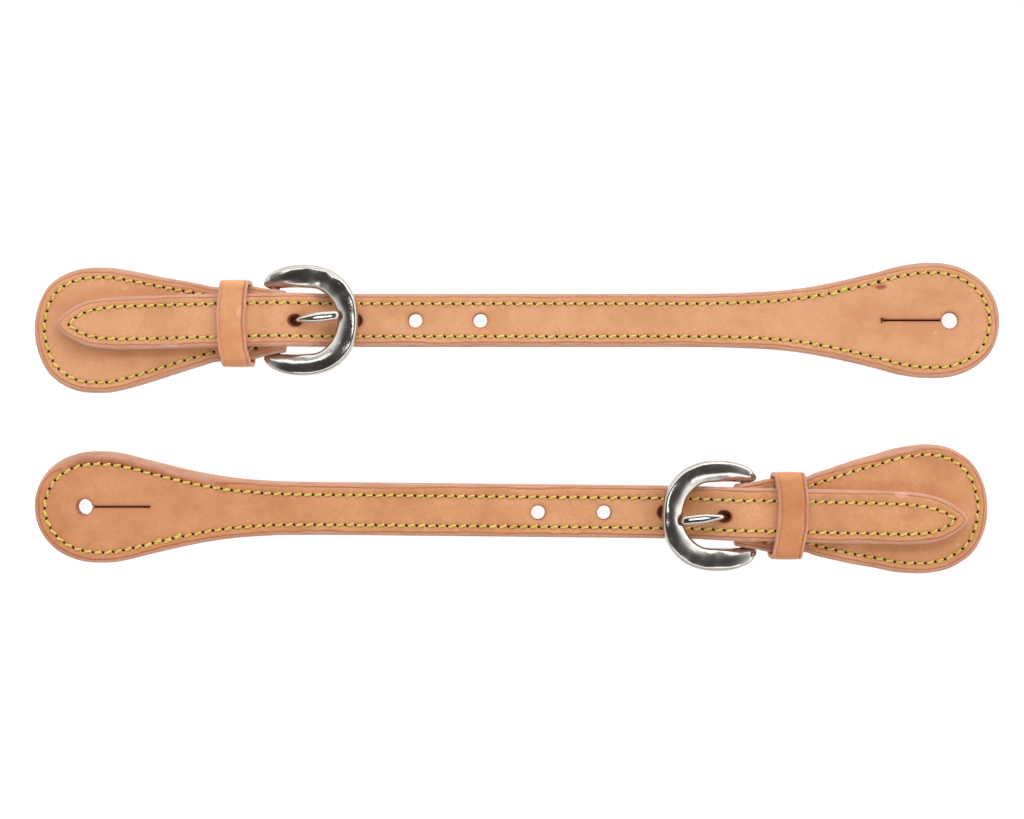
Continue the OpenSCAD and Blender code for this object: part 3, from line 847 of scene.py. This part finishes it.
def bevel_width(s, loop, which):
    """The bevel's width along the outline: cut by hand, so it wanders."""
    n = len(loop)
    d = np.r_[0, np.cumsum(np.linalg.norm(np.diff(loop, axis=0), axis=1))]
    total = length(loop)
    k = d / total
    w = 1.06 + 0.12 * ripple(k * total, 11 + s + 7 * which, 26.0) + 0.05 * ripple(k * total, 31 + s, 5.0)
    u, v = loop[:, 0], loop[:, 1]
    if s == 1 and which == 0:
        # the right strap's long tab is pared wide along one side
        side = v < long_mid[1](u)
        w = w + np.where(side, 2.15 * wave((u - 147) / 24) * wave((213 - u) / 12) + 0.4 * np.exp(-(((u - 120) / 40) ** 2)), 0)
    if s == 0 and which == 0:
        w = w + np.where(v > long_mid[0](u), 0.25 * np.exp(-(((u - 190) / 30) ** 2)), 0.1)
    if s == 0 and which == 1:
        w = w + np.where(v > short_mid[0](u), 0.55 * np.exp(-(((u + 45) / 14) ** 2)), 0.15)
    if s == 1 and which == 1:
        w = w + np.where(v < short_mid[1](u), 0.95 * np.exp(-(((u + 42) / 14) ** 2)), 0.1)
    return np.clip(w, 0.8, 3.2)


def stitch_row(loop, closed=True, start=None):
    n = normals(loop)
    p = loop + n * STITCH_IN
    d, _ = near(p, loop)
    ok = d > STITCH_IN - 0.02
    return p[ok]


def relax(p, times=6):
    for _ in range(times):
        p = 0.5 * p + 0.25 * (np.roll(p, 1, 0) + np.roll(p, -1, 0))
    return p


def fold_place(s):
    """From the short strap's flat sheet, whose first axis runs along the leather round the bar, to its folded shape."""
    rm = FOLD_IN + PLY / 2

    def f(p, h):
        l = p[:, 0]
        h = np.broadcast_to(np.asarray(h, float), l.shape)
        phi = np.clip(l / rm, 0, pi)
        r = FOLD_IN + h
        u = np.where(l <= 0, l, np.where(l >= pi * rm, -(l - pi * rm), r * np.sin(phi)))
        z = np.where(l <= 0, short_top_z(np.minimum(l, 0)) - PLY + h,
                     np.where(l >= pi * rm, short_low_z(np.minimum(u, 0)) + PLY - h, BAR_Z + r * np.cos(phi)))
        return np.c_[u, p[:, 1], z]

    return f


RM = FOLD_IN + PLY / 2
LEG = 26.0


def short_outline(s, lining=False):
    r = np.linspace(0, math.sqrt(46), 90)
    a = SHORT_U[s] + r**2
    if lining:
        end = -26.3
        b = np.linspace(a[-1] + 0.5, end, 24)
        u = np.concatenate([a[a < end], [end]])
        l = u
    else:
        b = np.linspace(a[-1] + 0.5, 0, 40)
        u = np.concatenate([a, b])
        l = u.copy()
        fold = np.linspace(0, pi * RM, 16)[1:]
        leg = np.linspace(0, LEG, 40)[1:]
        l = np.concatenate([l, fold, pi * RM + leg])
        u = np.concatenate([u, RM * 1.35 * np.sin(fold / RM), -leg])
    mid, half = short_mid[s](u), short_half(s, u)
    if not lining:
        # the turned-back leg is cut a hair narrower, so the face hides its edge
        half = half - np.where(l > pi * RM, 0.12, 0)
    low = np.c_[l, mid - half]
    high = np.c_[l, mid + half][::-1]
    high = high[:-1]
    end_low, end_high = low[-1], high[0]
    k = int(np.linalg.norm(end_high - end_low) / 0.95)
    cap = np.linspace(end_low, end_high, k + 1)[1:-1]
    body = np.vstack([resample(np.vstack([high[1:] * 1.0][0:0] + [high, low]), int(length(np.vstack([high, low]), False) / 0.95), False)])
    return np.vstack([body, cap])


def long_place(base):
    def f(p, h):
        h = np.broadcast_to(np.asarray(h, float), p[:, 0].shape)
        return np.c_[p[:, 0], p[:, 1], long_z(p[:, 0]) + base + h]

    return f


def low_place(p, h):
    h = np.broadcast_to(np.asarray(h, float), p[:, 0].shape)
    return np.c_[p[:, 0], p[:, 1], short_low_z(np.minimum(p[:, 0], 0)) + h]


for s, side in enumerate(SIDES):
    strap = f"{side}_strap"
    sg = 1
    # the long strap: two layers with the same outline
    loop = long_outline(s)
    row = stitch_row(loop)
    row = relax(row, 3)
    if s == 1:
        # the seam clears the wide bevel
        row[:, 1] += 0.75 * np.clip((long_mid[1](row[:, 0]) - row[:, 1]) / 4.0, 0, 1)
    count = int(round(length(row) / PITCH))
    row = resample(row, count * Sheet.SUB)
    width = bevel_width(s, loop, 0)
    bu, bv = BUTTON_LONG[s], float(long_mid[s](BUTTON_LONG[s]))
    bv = 0.03 if s == 0 else -2.57
    punched = lambda tilt, grow=0.0, w=0.42, ru=2.0, rv=1.8, off=0.0, lean=0.0: [round_hole(6.4 + tilt, PRONG_V[s], rv, ru=ru)] + [
        round_hole(u + (off if i_ == 0 else 0), HOLE_V[s], HOLE_R + grow) for i_, u in enumerate(HOLE_U[s])] + [
        keyhole(bu + lean * (1 - s), bv, BUTTON_R, -1, 20.2 if s == 0 else 19.6, w, 0 if s else 1.0 if w > 0.3 else 0.12)]
    top_sheet = Sheet(loop, punched(0.2 + 0.25 * s, 0.0, 0.44), width, row, True, 41 + s)
    o = build_ply(f"{side}_long_strap_face", s, top_sheet, long_place(PLY), [MAT["outer"][s]], True, False, 0.50, 0.0,
                  low_holes=punched(0.0, 0.0, 0.10, off=-0.7, lean=0.35))
    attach(o, strap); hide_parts(f"{side}_long_strap_outer")
    under = Sheet(loop, punched(-0.15, 0.0, 0.07, 1.12, 0.95, -1.6, lean=0.35), np.minimum(width, 1.2), row, True, 51 + s)
    o = build_ply(f"{side}_long_strap_back", s, under, long_place(0.0), [MAT["lining"]], False, True, 0.0, 0.35,
                  low_holes=punched(-1.1, 0.0, 0.07, 1.15, 0.95, -1.8, lean=0.7))
    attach(o, strap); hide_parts(f"{side}_long_strap_lining")
    needle = row[:: Sheet.SUB]
    # doubled back stitches where the seam starts and ends
    seam_u = 165.5 if s == 0 else 174
    d = np.abs(needle[:, 0] - seam_u) + np.where(needle[:, 1] > long_mid[s](needle[:, 0]), 0, 100)
    k0 = int(d.argmin())
    extra = [((k0 + j) % len(needle), 0.34 * (1 if j % 2 else -1)) for j in range(-2, 2)]
    lp = long_place(PLY)
    thread_tube(f"{side}_long_strap_stitches", s, strap, [f"{side}_long_strap_needle_thread"], needle,
                lambda p, h: lp(p, PLY - 0.12 + h), True, extra=extra, material=MAT["thread"], seed=61 + s)
    lb = long_place(0.0)
    thread_tube(f"{side}_long_strap_back_stitches", s, strap, [f"{side}_long_strap_bobbin_thread"], needle,
                lambda p, h: lb(p, 0.33 - h), False, material=MAT["thread"], seed=71 + s, sides=6, stations=6, rise=-0.04, height=0.26)

    # the short strap's outer layer, flat, then folded round the bar
    loop = short_outline(s)
    if SIGN_OF_LOOP(loop) < 0:
        loop = loop[::-1]
    width = bevel_width(s, loop, 1)
    plan = np.vstack([loop[loop[:, 0] <= -6.0]])
    # the stitch row in plan: it runs from the keeper round the tab and back
    n = normals(loop)
    inner = loop + n * STITCH_IN
    dd, _ = near(inner, loop)
    ok = (dd > STITCH_IN - 0.02) & (inner[:, 0] < -5.5)
    idx = np.where(ok)[0]
    gap = np.where(np.diff(idx) > 1)[0]
    if len(gap):
        idx = np.r_[idx[gap[0] + 1:], idx[:gap[0] + 1]]
    path = inner[idx]
    keep_len = length(path, False)
    count = int(round(keep_len / PITCH))
    row = resample(path, count * Sheet.SUB + 1, False)
    su, sv = BUTTON_SHORT[s], -2.9 if s == 0 else -2.17
    slot_l = np.array([-3.4, pi * RM + 3.4])
    a = np.linspace(-pi / 2, pi / 2, 9)
    slot = np.vstack([np.c_[slot_l[1] - 2 + 2 * np.cos(a), 2.0 * np.sin(a)], np.c_[slot_l[0] + 2 - 2 * np.cos(a), -2.0 * np.sin(a)]])
    slot = resample(slot, 44)
    cut = lambda w: [keyhole(su, sv, BUTTON_R, 1, 20.8, w, False), slot]
    sheet = Sheet(loop, cut(0.44), width, row, False, 81 + s)
    o = build_ply(f"{side}_short_strap_face", s, sheet, fold_place(s), [MAT["outer"][s]], True, False, 0.50, 0.0, low_holes=cut(0.20))
    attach(o, strap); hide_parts(f"{side}_short_strap_outer")
    lining = short_outline(s, True)
    if SIGN_OF_LOOP(lining) < 0:
        lining = lining[::-1]
    part = row[row[:, 0] < -26.6]
    back = Sheet(lining, [keyhole(su, sv, BUTTON_R, 1, 20.8, 0.20, False)], np.minimum(bevel_width(s, lining, 1), 1.2), part, False, 91 + s)
    o = build_ply(f"{side}_short_strap_back", s, back, low_place, [MAT["lining"]], False, True, 0.0, 0.35)
    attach(o, strap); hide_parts(f"{side}_short_strap_lining")
    needle = row[:: Sheet.SUB]
    fp = fold_place(s)
    thread_tube(f"{side}_short_strap_stitches", s, strap, [f"{side}_short_strap_needle_thread"], needle,
                lambda p, h: fp(p, PLY - 0.12 + h), True, closed=False, material=MAT["thread"], seed=101 + s)
    thread_tube(f"{side}_short_strap_back_stitches", s, strap, [f"{side}_short_strap_bobbin_thread"], needle,
                lambda p, h: low_place(p, 0.33 - h), False, closed=False, material=MAT["thread"], seed=111 + s, sides=6, stations=6,
                rise=-0.04, height=0.26)

# ---------------------------------------------------------------- keepers
for s, side in enumerate(SIDES):
    kz0, kz1 = LIFT - 0.35, LIFT + 4 * PLY + FIT + 0.3
    vc, hw = KEEPER_V[s], KEEPER_IN
    # the inner loop, started at the middle underneath, anticlockwise seen along +u
    rr = 0.9
    corners = [(vc + hw - rr, kz0 + rr, -pi / 2), (vc + hw - rr, kz1 - rr, 0), (vc - hw + rr, kz1 - rr, pi / 2), (vc - hw + rr, kz0 + rr, pi)]
    loop = []
    for cv, cz, a0 in corners:
        for a in np.linspace(a0, a0 + pi / 2, 9):
            loop.append((cv + rr * math.cos(a), cz + rr * math.sin(a)))
    loop = resample(np.array(loop), 150)
    n_out = -normals(loop)
    m = len(loop)
    # section across the width: x from -1 to 1, h from 0 inside to 1 outside
    half = 4.42 if s == 0 else 4.66
    prof = []
    for x in (0.0, -0.5, -0.86, -0.97):
        prof.append((x, 0.0, 0.0))
    prof += [(-1.0, 0.12, 1.0), (-1.02, 0.45, 1.0), (-1.0, 0.78, 1.0), (-0.955, 0.96, 1.0), (-0.90, 1.0, 0.9), (-0.86, 0.99, 0.4),
             (-0.80, 0.90, 0.0), (-0.75, 0.90, 0.0), (-0.70, 1.0, 0.0), (-0.55, 1.03, 0.0), (-0.3, 1.05, 0.0), (0.0, 1.06, 0.0),
             (0.3, 1.05, 0.0), (0.55, 1.03, 0.0), (0.70, 1.0, 0.0), (0.75, 0.90, 0.0), (0.80, 0.90, 0.0), (0.86, 0.99, 0.4), (0.90, 1.0, 0.9),
             (0.955, 0.96, 1.0), (1.0, 0.78, 1.0), (1.02, 0.45, 1.0), (1.0, 0.12, 1.0), (0.97, 0.0, 0.0), (0.86, 0.0, 0.0), (0.5, 0.0, 0.0)]
    k = len(prof)
    verts, edge, crease, rim = [], [], [], []
    t = np.arange(m) / m
    for i in range(m):
        v0, z0 = loop[i]
        nv_, nz_ = n_out[i]
        # the top face bows and leans a little; the ends flare
        f = (v0 - vc) / hw
        top = 1.0 if z0 > 6 else 0.0
        g = min(1.0, abs(f) ** 2.2)
        lean = ((-0.95 * (1 - g) + (0.55 if f < 0 else 0.15) * g) * top + (0.55 if f < 0 else 0.15) * (1 - top) + 0.35) if s == 0 else (
            (-1.15 * (1 - g) + 0.25 * g) * top + 0.25 * (1 - top) - 0.55)
        flare = 1 + 0.010 * math.sin(5 * f)
        puff = 0.10 * (1 - f * f) * top
        skew = -0.10 * f if s == 0 else 0.50 * f
        for x, h, e in prof:
            wob = 0.06 * math.sin(7.3 * t[i] * 2 * pi + 3 * x + s) + 0.04 * math.sin(17 * t[i] * 2 * pi + s)
            u = KEEPER_U + lean + skew + x * (half - 0.12) * flare + (wob if abs(x) > 0.6 else 0)
            hh = h * KEEPER_T * 0.94 + (puff * (1 - x * x) if h > 0.5 else puff * 0.0)
            if z0 < kz0 + 0.05 and h > 0.5:
                hh = min(hh, KEEPER_T)
            verts.append((u, v0 + nv_ * hh, z0 + nz_ * hh))
            edge.append(e if h > 0.05 else 0.0)
            # painted shade in the crease lines on the keeper's face, stronger on one side where more shade falls
            crease.append((0.8 if (x > 0) == (s == 0) else 0.25) if (abs(abs(x) - 0.775) < 0.03 and h > 0.5) else 0.0)
    verts = np.array(verts)
    verts[:, 2] = np.maximum(verts[:, 2], 0.02)
    faces = []
    for i in range(m):
        j = (i + 1) % m
        for q in range(k):
            r_ = (q + 1) % k
            faces.append([i * k + q, j * k + q, j * k + r_, i * k + r_])
    z = np.zeros(len(verts))
    o = make(f"{side}_keeper_loop", world(s, verts), faces, [MAT["keeper_b" if s else "keeper"]],
             {"edge": edge, "crease": crease, "pit": z, "rim": z, "row": z})
    import bmesh
    bm = bmesh.new(); bm.from_mesh(o.data)
    bmesh.ops.recalc_face_normals(bm, faces=bm.faces)
    bm.to_mesh(o.data); bm.free()
    sub = o.modifiers.new("round", "SUBSURF"); sub.levels = 1; sub.render_levels = 1
    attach(o, f"{side}_keeper"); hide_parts(f"{side}_keeper")
    # five cross stitches under the butt seam
    vs, fs = [], []
    for i in range(-2, 3):
        uc = KEEPER_U + 1.7 * i
        base = len(vs)
        for a in range(9):
            q = a / 8.0
            y = vc - 2.5 + 5 * q
            zz = 0.42 - 0.12 * math.sin(pi * q)
            for b in range(7):
                ph = 2 * pi * b / 7
                lob = 1 + 0.12 * math.cos(3 * ph - 9 * q)
                vs.append((uc + 0.36 * lob * math.cos(ph) + 0.25 * (q - 0.5), y, zz + 0.24 * lob * math.sin(ph)))
        for a in range(8):
            for b in range(7):
                c = (b + 1) % 7
                fs.append([base + a * 7 + b, base + a * 7 + c, base + (a + 1) * 7 + c, base + (a + 1) * 7 + b])
        fs.append([base + b for b in range(7)][::-1])
        fs.append([base + 56 + b for b in range(7)])
    vs = np.array(vs)
    o = make(f"{side}_keeper_seam", world(s, vs), fs, [MAT["thread"]], {"twist": np.random.RandomState(7).rand(len(vs))})
    bm = bmesh.new(); bm.from_mesh(o.data)
    bmesh.ops.recalc_face_normals(bm, faces=bm.faces)
    bm.to_mesh(o.data); bm.free()
    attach(o, f"{side}_keeper"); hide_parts(f"{side}_keeper_stitches")

# ---------------------------------------------------------------- buckles
SHOE_R, SHOE_LEN, SHOE_N, WIN, WIN_R, WIN_MID, TILT, SHOE_U, ARM_END = 16.6, 16.9, 2.25, 9.85, 10.5, -0.2, math.radians(7.5), 8.7, 11.2
CROWN_X = np.array([-1, -0.99, -0.965, -0.93, -0.88, -0.80, -0.64, -0.48, -0.32, -0.16, 0.0, 0.20, 0.45, 0.66, 0.78, 0.87, 0.93, 0.97, 0.99, 1])
CROWN_H = np.array([0, 0.75, 1.30, 1.66, 1.92, 2.14, 2.37, 2.56, 2.73, 2.87, 2.95, 2.97, 2.92, 2.82, 2.70, 2.50, 2.22, 1.80, 1.05, 0])


def shaped(c, p):
    return np.sign(c) * np.abs(c) ** p


def closed_rings(rings, name, mats, s, attrs=None):
    m = len(rings[0])
    v = np.vstack(rings)
    faces = []
    for i in range(len(rings) - 1):
        for q in range(m):
            r_ = (q + 1) % m
            faces.append([i * m + q, (i + 1) * m + q, (i + 1) * m + r_, i * m + r_])
    c0, c1 = len(v), len(v) + 1
    v = np.vstack([v, rings[0].mean(0), rings[-1].mean(0)])
    e = (len(rings) - 1) * m
    for q in range(m):
        r_ = (q + 1) % m
        faces.append([c0, q, r_])
        faces.append([c1, e + r_, e + q])
    o = make(name, world(s, v), faces, mats, attrs)
    import bmesh
    bm = bmesh.new(); bm.from_mesh(o.data)
    bmesh.ops.recalc_face_normals(bm, faces=bm.faces)
    bm.to_mesh(o.data); bm.free()
    return o


for s, side in enumerate(SIDES):
    # stations from one arm's end, round the front, to the other arm's end
    ends = [-3.39, -3.36, -3.28, -3.14, -2.92, -2.6, -2.2, -1.7, -1.2, -0.5, 0.4, 1.4, 2.5, 3.6, 4.8, 6.0, 7.3]
    stations = [("arm", -1, q_) for q_ in ends] + [("arc", 0, math.radians(-90 + 180 * i / 96)) for i in range(97)] + [
        ("arm", 1, q_) for q_ in ends[::-1]]
    rings = []
    for i, (kind, g, q_) in enumerate(stations):
        if kind == "arm":
            full = 1.0 if q_ > -1.2 else math.sqrt(max(0.0, 1 - ((-1.2 - q_) / 2.2) ** 2))
            out = SHOE_R * (1 - ((SHOE_U - q_) / SHOE_LEN) ** SHOE_N) ** (1 / SHOE_N)
            p_in = np.array([q_, WIN_MID + g * (ARM_END - (ARM_END - WIN) * full)])
            p_out = np.array([q_, g * (ARM_END + (out - ARM_END) * full)])
            f = min(1.0, 0.12 + 0.88 * full) * min(1.0, 0.34 + 0.66 * abs(p_out[1] - p_in[1]) / 6.4)
            low = 1.6
        else:
            full, f = 1.0, 1.0
            ri = min(WIN_R, WIN / max(0.01, abs(math.sin(q_))))
            # round off the corner between the straight sides and the front
            ri = -0.35 * math.log(math.exp(-WIN_R / 0.35) + math.exp(-WIN / max(0.01, abs(math.sin(q_))) / 0.35)) if abs(q_) > 0.5 else ri
            ro = 1 / ((abs(math.cos(q_)) / SHOE_LEN) ** SHOE_N + (abs(math.sin(q_)) / SHOE_R) ** SHOE_N) ** (1 / SHOE_N)
            p_in = np.array([SHOE_U + ri * math.cos(q_), ri * math.sin(q_) + WIN_MID * abs(math.sin(q_))])
            p_out = np.array([SHOE_U + ro * math.cos(q_), ro * math.sin(q_)])
            low = 1.2 + 0.4 * float(wave((math.degrees(abs(q_)) - 60) / 50))
        b = np.linspace(0, 2 * pi, 40, endpoint=False)
        x = shaped(np.cos(b), 0.80)
        up = np.sin(b) > 1e-9
        arc = q_ * 16 if kind == "arc" else g * (26 + 8.7 - q_)
        # cast, then polished by hand: the surface is never quite true
        wob = 0.045 * ripple(np.array([arc]), 5 + s, 7.0)[0]
        h = np.where(up, np.interp(x, CROWN_X, CROWN_H) * f + (wob + 0.03 * np.sin(4 * x + arc * 0.45 + s)) * (1 - x**4),
                     shaped(np.sin(b), 0.85) * low * f)
        c = (p_in + p_out)[None] / 2 + (p_out - p_in)[None] / 2 * x[:, None]
        # the prong's rest, pressed into the inner edge
        if kind == "arc" and abs(q_) < 0.5:
            rest = np.exp(-(((c[:, 1] - 1.3) / 1.5) ** 2)) * np.clip((0.1 - x) / 0.9, 0, 1)
            h = np.where(up, h - 0.12 * rest * np.clip(h / 2.6, 0, 1), h)
        uu = c[:, 0] * math.cos(TILT) - 0.25 * h * math.sin(TILT)
        zz = c[:, 0] * math.sin(TILT) + h * math.cos(TILT)
        rings.append(np.c_[uu, c[:, 1], BAR_Z + zz])
    o = closed_rings(rings, f"{side}_buckle_shoe", [MAT["nickel"]], s)
    # the heel bar, a solid of its own in the same casting
    bar = []
    for i in range(13):
        y = WIN_MID - 11.0 + 22.0 * i / 12
        ph = np.linspace(0, 2 * pi, 28, endpoint=False)
        bar.append(np.c_[BAR_R * np.cos(ph), np.full(28, y), BAR_Z + BAR_R * np.sin(ph)])
    o2 = closed_rings(bar, f"{side}_bar_tmp", [MAT["nickel"]], s)
    mod = o.modifiers.new("bar", "BOOLEAN")
    mod.operation = "UNION"
    mod.solver = "EXACT"
    mod.object = o2
    dg = bpy.context.evaluated_depsgraph_get()
    me = bpy.data.meshes.new_from_object(o.evaluated_get(dg))
    o.modifiers.clear()
    o.data = me
    me.polygons.foreach_set("use_smooth", [True] * len(me.polygons))
    bpy.data.objects.remove(o2)
    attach(o, f"{side}_buckle"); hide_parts(f"{side}_buckle_frame")

    # the prong: an eye bent round the bar, a round neck and a spoon-shaped tip
    path = np.array([[2.3, 4.6], [3.2, 4.7], [4.1, 4.9], [5.1, 5.5], [5.75, 6.35], [6.3, 7.4], [6.85, 8.5], [7.65, 9.45], [8.8, 10.0],
                     [10.5, 10.13], [12.6, 10.06], [14.6, 9.97], [16.6, 9.87], [18.1, 9.79], [19.2, 9.68], [19.75, 9.56]])
    hw_ = np.array([1.3, 1.15, 1.08, 1.02, 0.97, 0.90, 0.86, 0.84, 0.90, 1.18, 1.46, 1.52, 1.46, 1.38, 1.15, 0.60])
    th_ = np.array([0.7, 0.8, 0.85, 0.85, 0.85, 0.85, 0.82, 0.8, 0.8, 0.8, 0.8, 0.8, 0.8, 0.72, 0.5, 0.18])
    seg = np.r_[0, np.cumsum(np.linalg.norm(np.diff(path, axis=0), axis=1))]
    q = np.linspace(0, seg[-1], 54)
    q = seg[-1] * (1 - (1 - q / seg[-1]) ** 1.15)

    def curve(y):
        f = smooth([[a_, b_] for a_, b_ in zip(seg, y)])
        return f(q)

    pu, pz, hw2, th2 = np.interp(q, seg, path[:, 0]), np.interp(q, seg, path[:, 1]), curve(hw_), curve(th_)
    for _ in range(3):
        pu[1:-1] = 0.25 * pu[:-2] + 0.5 * pu[1:-1] + 0.25 * pu[2:]
        pz[1:-1] = 0.25 * pz[:-2] + 0.5 * pz[1:-1] + 0.25 * pz[2:]
    du, dz = np.gradient(pu), np.gradient(pz)
    l = np.hypot(du, dz)
    du, dz = du / l, dz / l
    rings = []
    for i in range(len(q)):
        ph = np.linspace(0, 2 * pi, 24, endpoint=False)
        sn, cs = np.sin(ph), np.cos(ph)
        flat = float(np.clip((pu[i] - 9) / 4, 0, 1))
        lift_ = th2[i] * shaped(sn, 1 - 0.22 * flat)
        dish = np.where(sn > 0, 0.02 * math.sin(pu[i] * 1.1 + s), 0)
        off = lift_ + dish
        v = 1.3 * max(0.0, (pu[i] - 6.6) / 12.4) + PRONG_V[s] * math.exp(-(((pu[i] - 5.9) / 2.2) ** 2))
        rings.append(np.c_[pu[i] - dz[i] * off, v + hw2[i] * shaped(cs, 1 - 0.12 * flat), pz[i] + du[i] * off])
    o = closed_rings(rings, f"{side}_prong", [MAT["nickel"]], s)
    # the eye
    vs, fs = [], []
    A, P = 40, [(-1.6, 1.66), (-1.35, 1.65), (1.35, 1.65), (1.6, 1.66), (1.6, 2.5), (1.45, 2.78), (1.15, 2.88), (0.5, 2.9), (-0.5, 2.9), (-1.15, 2.88),
               (-1.45, 2.78), (-1.6, 2.5)]
    for i in range(A):
        an = 2 * pi * i / A
        for y, r in P:
            vs.append((r * math.cos(an), y, BAR_Z + r * math.sin(an)))
    K = len(P)
    for i in range(A):
        j = (i + 1) % A
        for b in range(K):
            c = (b + 1) % K
            fs.append([i * K + b, j * K + b, j * K + c, i * K + c])
    e = make(f"{side}_eye_tmp", world(s, vs), fs, [MAT["nickel"]])
    bm = bmesh.new(); bm.from_mesh(e.data)
    bmesh.ops.recalc_face_normals(bm, faces=bm.faces)
    bm.to_mesh(e.data); bm.free()
    mod = o.modifiers.new("eye", "BOOLEAN")
    mod.operation = "UNION"
    mod.solver = "EXACT"
    mod.object = e
    dg = bpy.context.evaluated_depsgraph_get()
    me = bpy.data.meshes.new_from_object(o.evaluated_get(dg))
    o.modifiers.clear()
    o.data = me
    me.polygons.foreach_set("use_smooth", [True] * len(me.polygons))
    bpy.data.objects.remove(e)
    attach(o, f"{side}_prong"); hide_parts(f"{side}_buckle_prong")

# ---------------------------------------------------------------- stage, light and camera
me = bpy.data.meshes.new("floor")
q = 3.0
me.from_pydata([(-q, -q, 0), (q, -q, 0), (q, q, 0), (-q, q, 0)], [], [(0, 1, 2, 3)])
floor = bpy.data.objects.new("floor", me)
bpy.context.scene.collection.objects.link(floor)
floor.location.z = -0.0001
fm = bpy.data.materials.new("floor")
fm.use_nodes = True
fb = fm.node_tree.nodes["Principled BSDF"]
fb.inputs["Base Color"].default_value = (0.28, 0.28, 0.28, 1)
fb.inputs["Roughness"].default_value = 0.9
fb.inputs["Emission Color"].default_value = (1, 1, 1, 1)
fb.inputs["Emission Strength"].default_value = 0.90
me.materials.append(fm)

scene = bpy.context.scene
w = bpy.data.worlds.new("studio")
scene.world = w
w.use_nodes = True
wt = w.node_tree
tc = wt.nodes.new("ShaderNodeTexCoord")
sp = wt.nodes.new("ShaderNodeSeparateXYZ")
wt.links.new(tc.outputs["Generated"], sp.inputs[0])
wr = wt.nodes.new("ShaderNodeValToRGB")
wr.color_ramp.interpolation = "B_SPLINE"
RING = [(0.0, 0.12), (0.14, 0.34), (0.32, 0.74), (0.50, 0.62), (0.64, 0.14), (0.80, 0.032), (1.0, 0.026)]
while len(wr.color_ramp.elements) < len(RING):
    wr.color_ramp.elements.new(0.5)
for el, (pos, val) in zip(wr.color_ramp.elements, RING):
    el.position = pos
    el.color = (val, val, val, 1)
ax = wt.nodes.new("ShaderNodeMath")
ax.operation = "MULTIPLY_ADD"
ax.inputs[1].default_value = 0.45
ax.inputs[2].default_value = 0.55
wt.links.new(sp.outputs["X"], ax.inputs[0])
lean = wt.nodes.new("ShaderNodeMath")
lean.operation = "MULTIPLY_ADD"
lean.inputs[1].default_value = -0.10
wt.links.new(ax.outputs[0], lean.inputs[0])
wt.links.new(sp.outputs["Z"], lean.inputs[2])
wt.links.new(lean.outputs[0], wr.inputs[0])
side_gain = wt.nodes.new("ShaderNodeMapRange")
side_gain.inputs["From Min"].default_value = -1.0
side_gain.inputs["From Max"].default_value = 1.0
side_gain.inputs["To Min"].default_value = 1.3
side_gain.inputs["To Max"].default_value = 4.2
wt.links.new(sp.outputs["Y"], side_gain.inputs["Value"])
across = wt.nodes.new("ShaderNodeMapRange")
across.inputs["From Min"].default_value = -1.0
across.inputs["From Max"].default_value = 1.0
across.inputs["To Min"].default_value = 0.70
across.inputs["To Max"].default_value = 1.30
wt.links.new(sp.outputs["X"], across.inputs["Value"])
gain = wt.nodes.new("ShaderNodeMath")
gain.operation = "MULTIPLY"
wt.links.new(side_gain.outputs["Result"], gain.inputs[0])
wt.links.new(across.outputs["Result"], gain.inputs[1])
bg = wt.nodes["Background"]
wt.links.new(wr.outputs["Color"], bg.inputs["Color"])
wt.links.new(gain.outputs[0], bg.inputs["Strength"])
scene.view_settings.view_transform = "Standard"
scene.view_settings.look = "None"


def softbox(name, where, at, size, power, color=(1, 1, 1)):
    l = bpy.data.lights.new(name, "AREA")
    l.shape = "RECTANGLE"
    l.size, l.size_y = size
    l.energy = power
    l.color = color
    o = bpy.data.objects.new(name, l)
    o.location = where
    o.rotation_euler = (Vector(at) - Vector(where)).to_track_quat("-Z", "Y").to_euler()
    scene.collection.objects.link(o)
    return o


softbox("key", (-0.25, 0.62, 0.95), (0, 0, 0), (1.0, 0.30), 1.0, (1.0, 0.99, 0.97)).visible_glossy = False
softbox("strip_far", (-0.12, 0.60, 0.90), (0, 0, 0), (1.4, 0.22), 2.3)
softbox("strip_near", (0.10, -0.64, 0.86), (0, 0, 0), (1.4, 0.22), 2.0)
softbox("top", (0.0, 0.03, 1.10), (0, 0, 0), (0.20, 0.22), 0.6)

cam = bpy.data.cameras.new("camera")
cam.sensor_width = 36.0
CAM_D = 0.60
cam.lens = 36.0 * (CAM_D - 0.004) / 0.3072
co = bpy.data.objects.new("camera", cam)
co.location = (-0.0015, 0.00255, CAM_D)
scene.collection.objects.link(co)
scene.camera = co
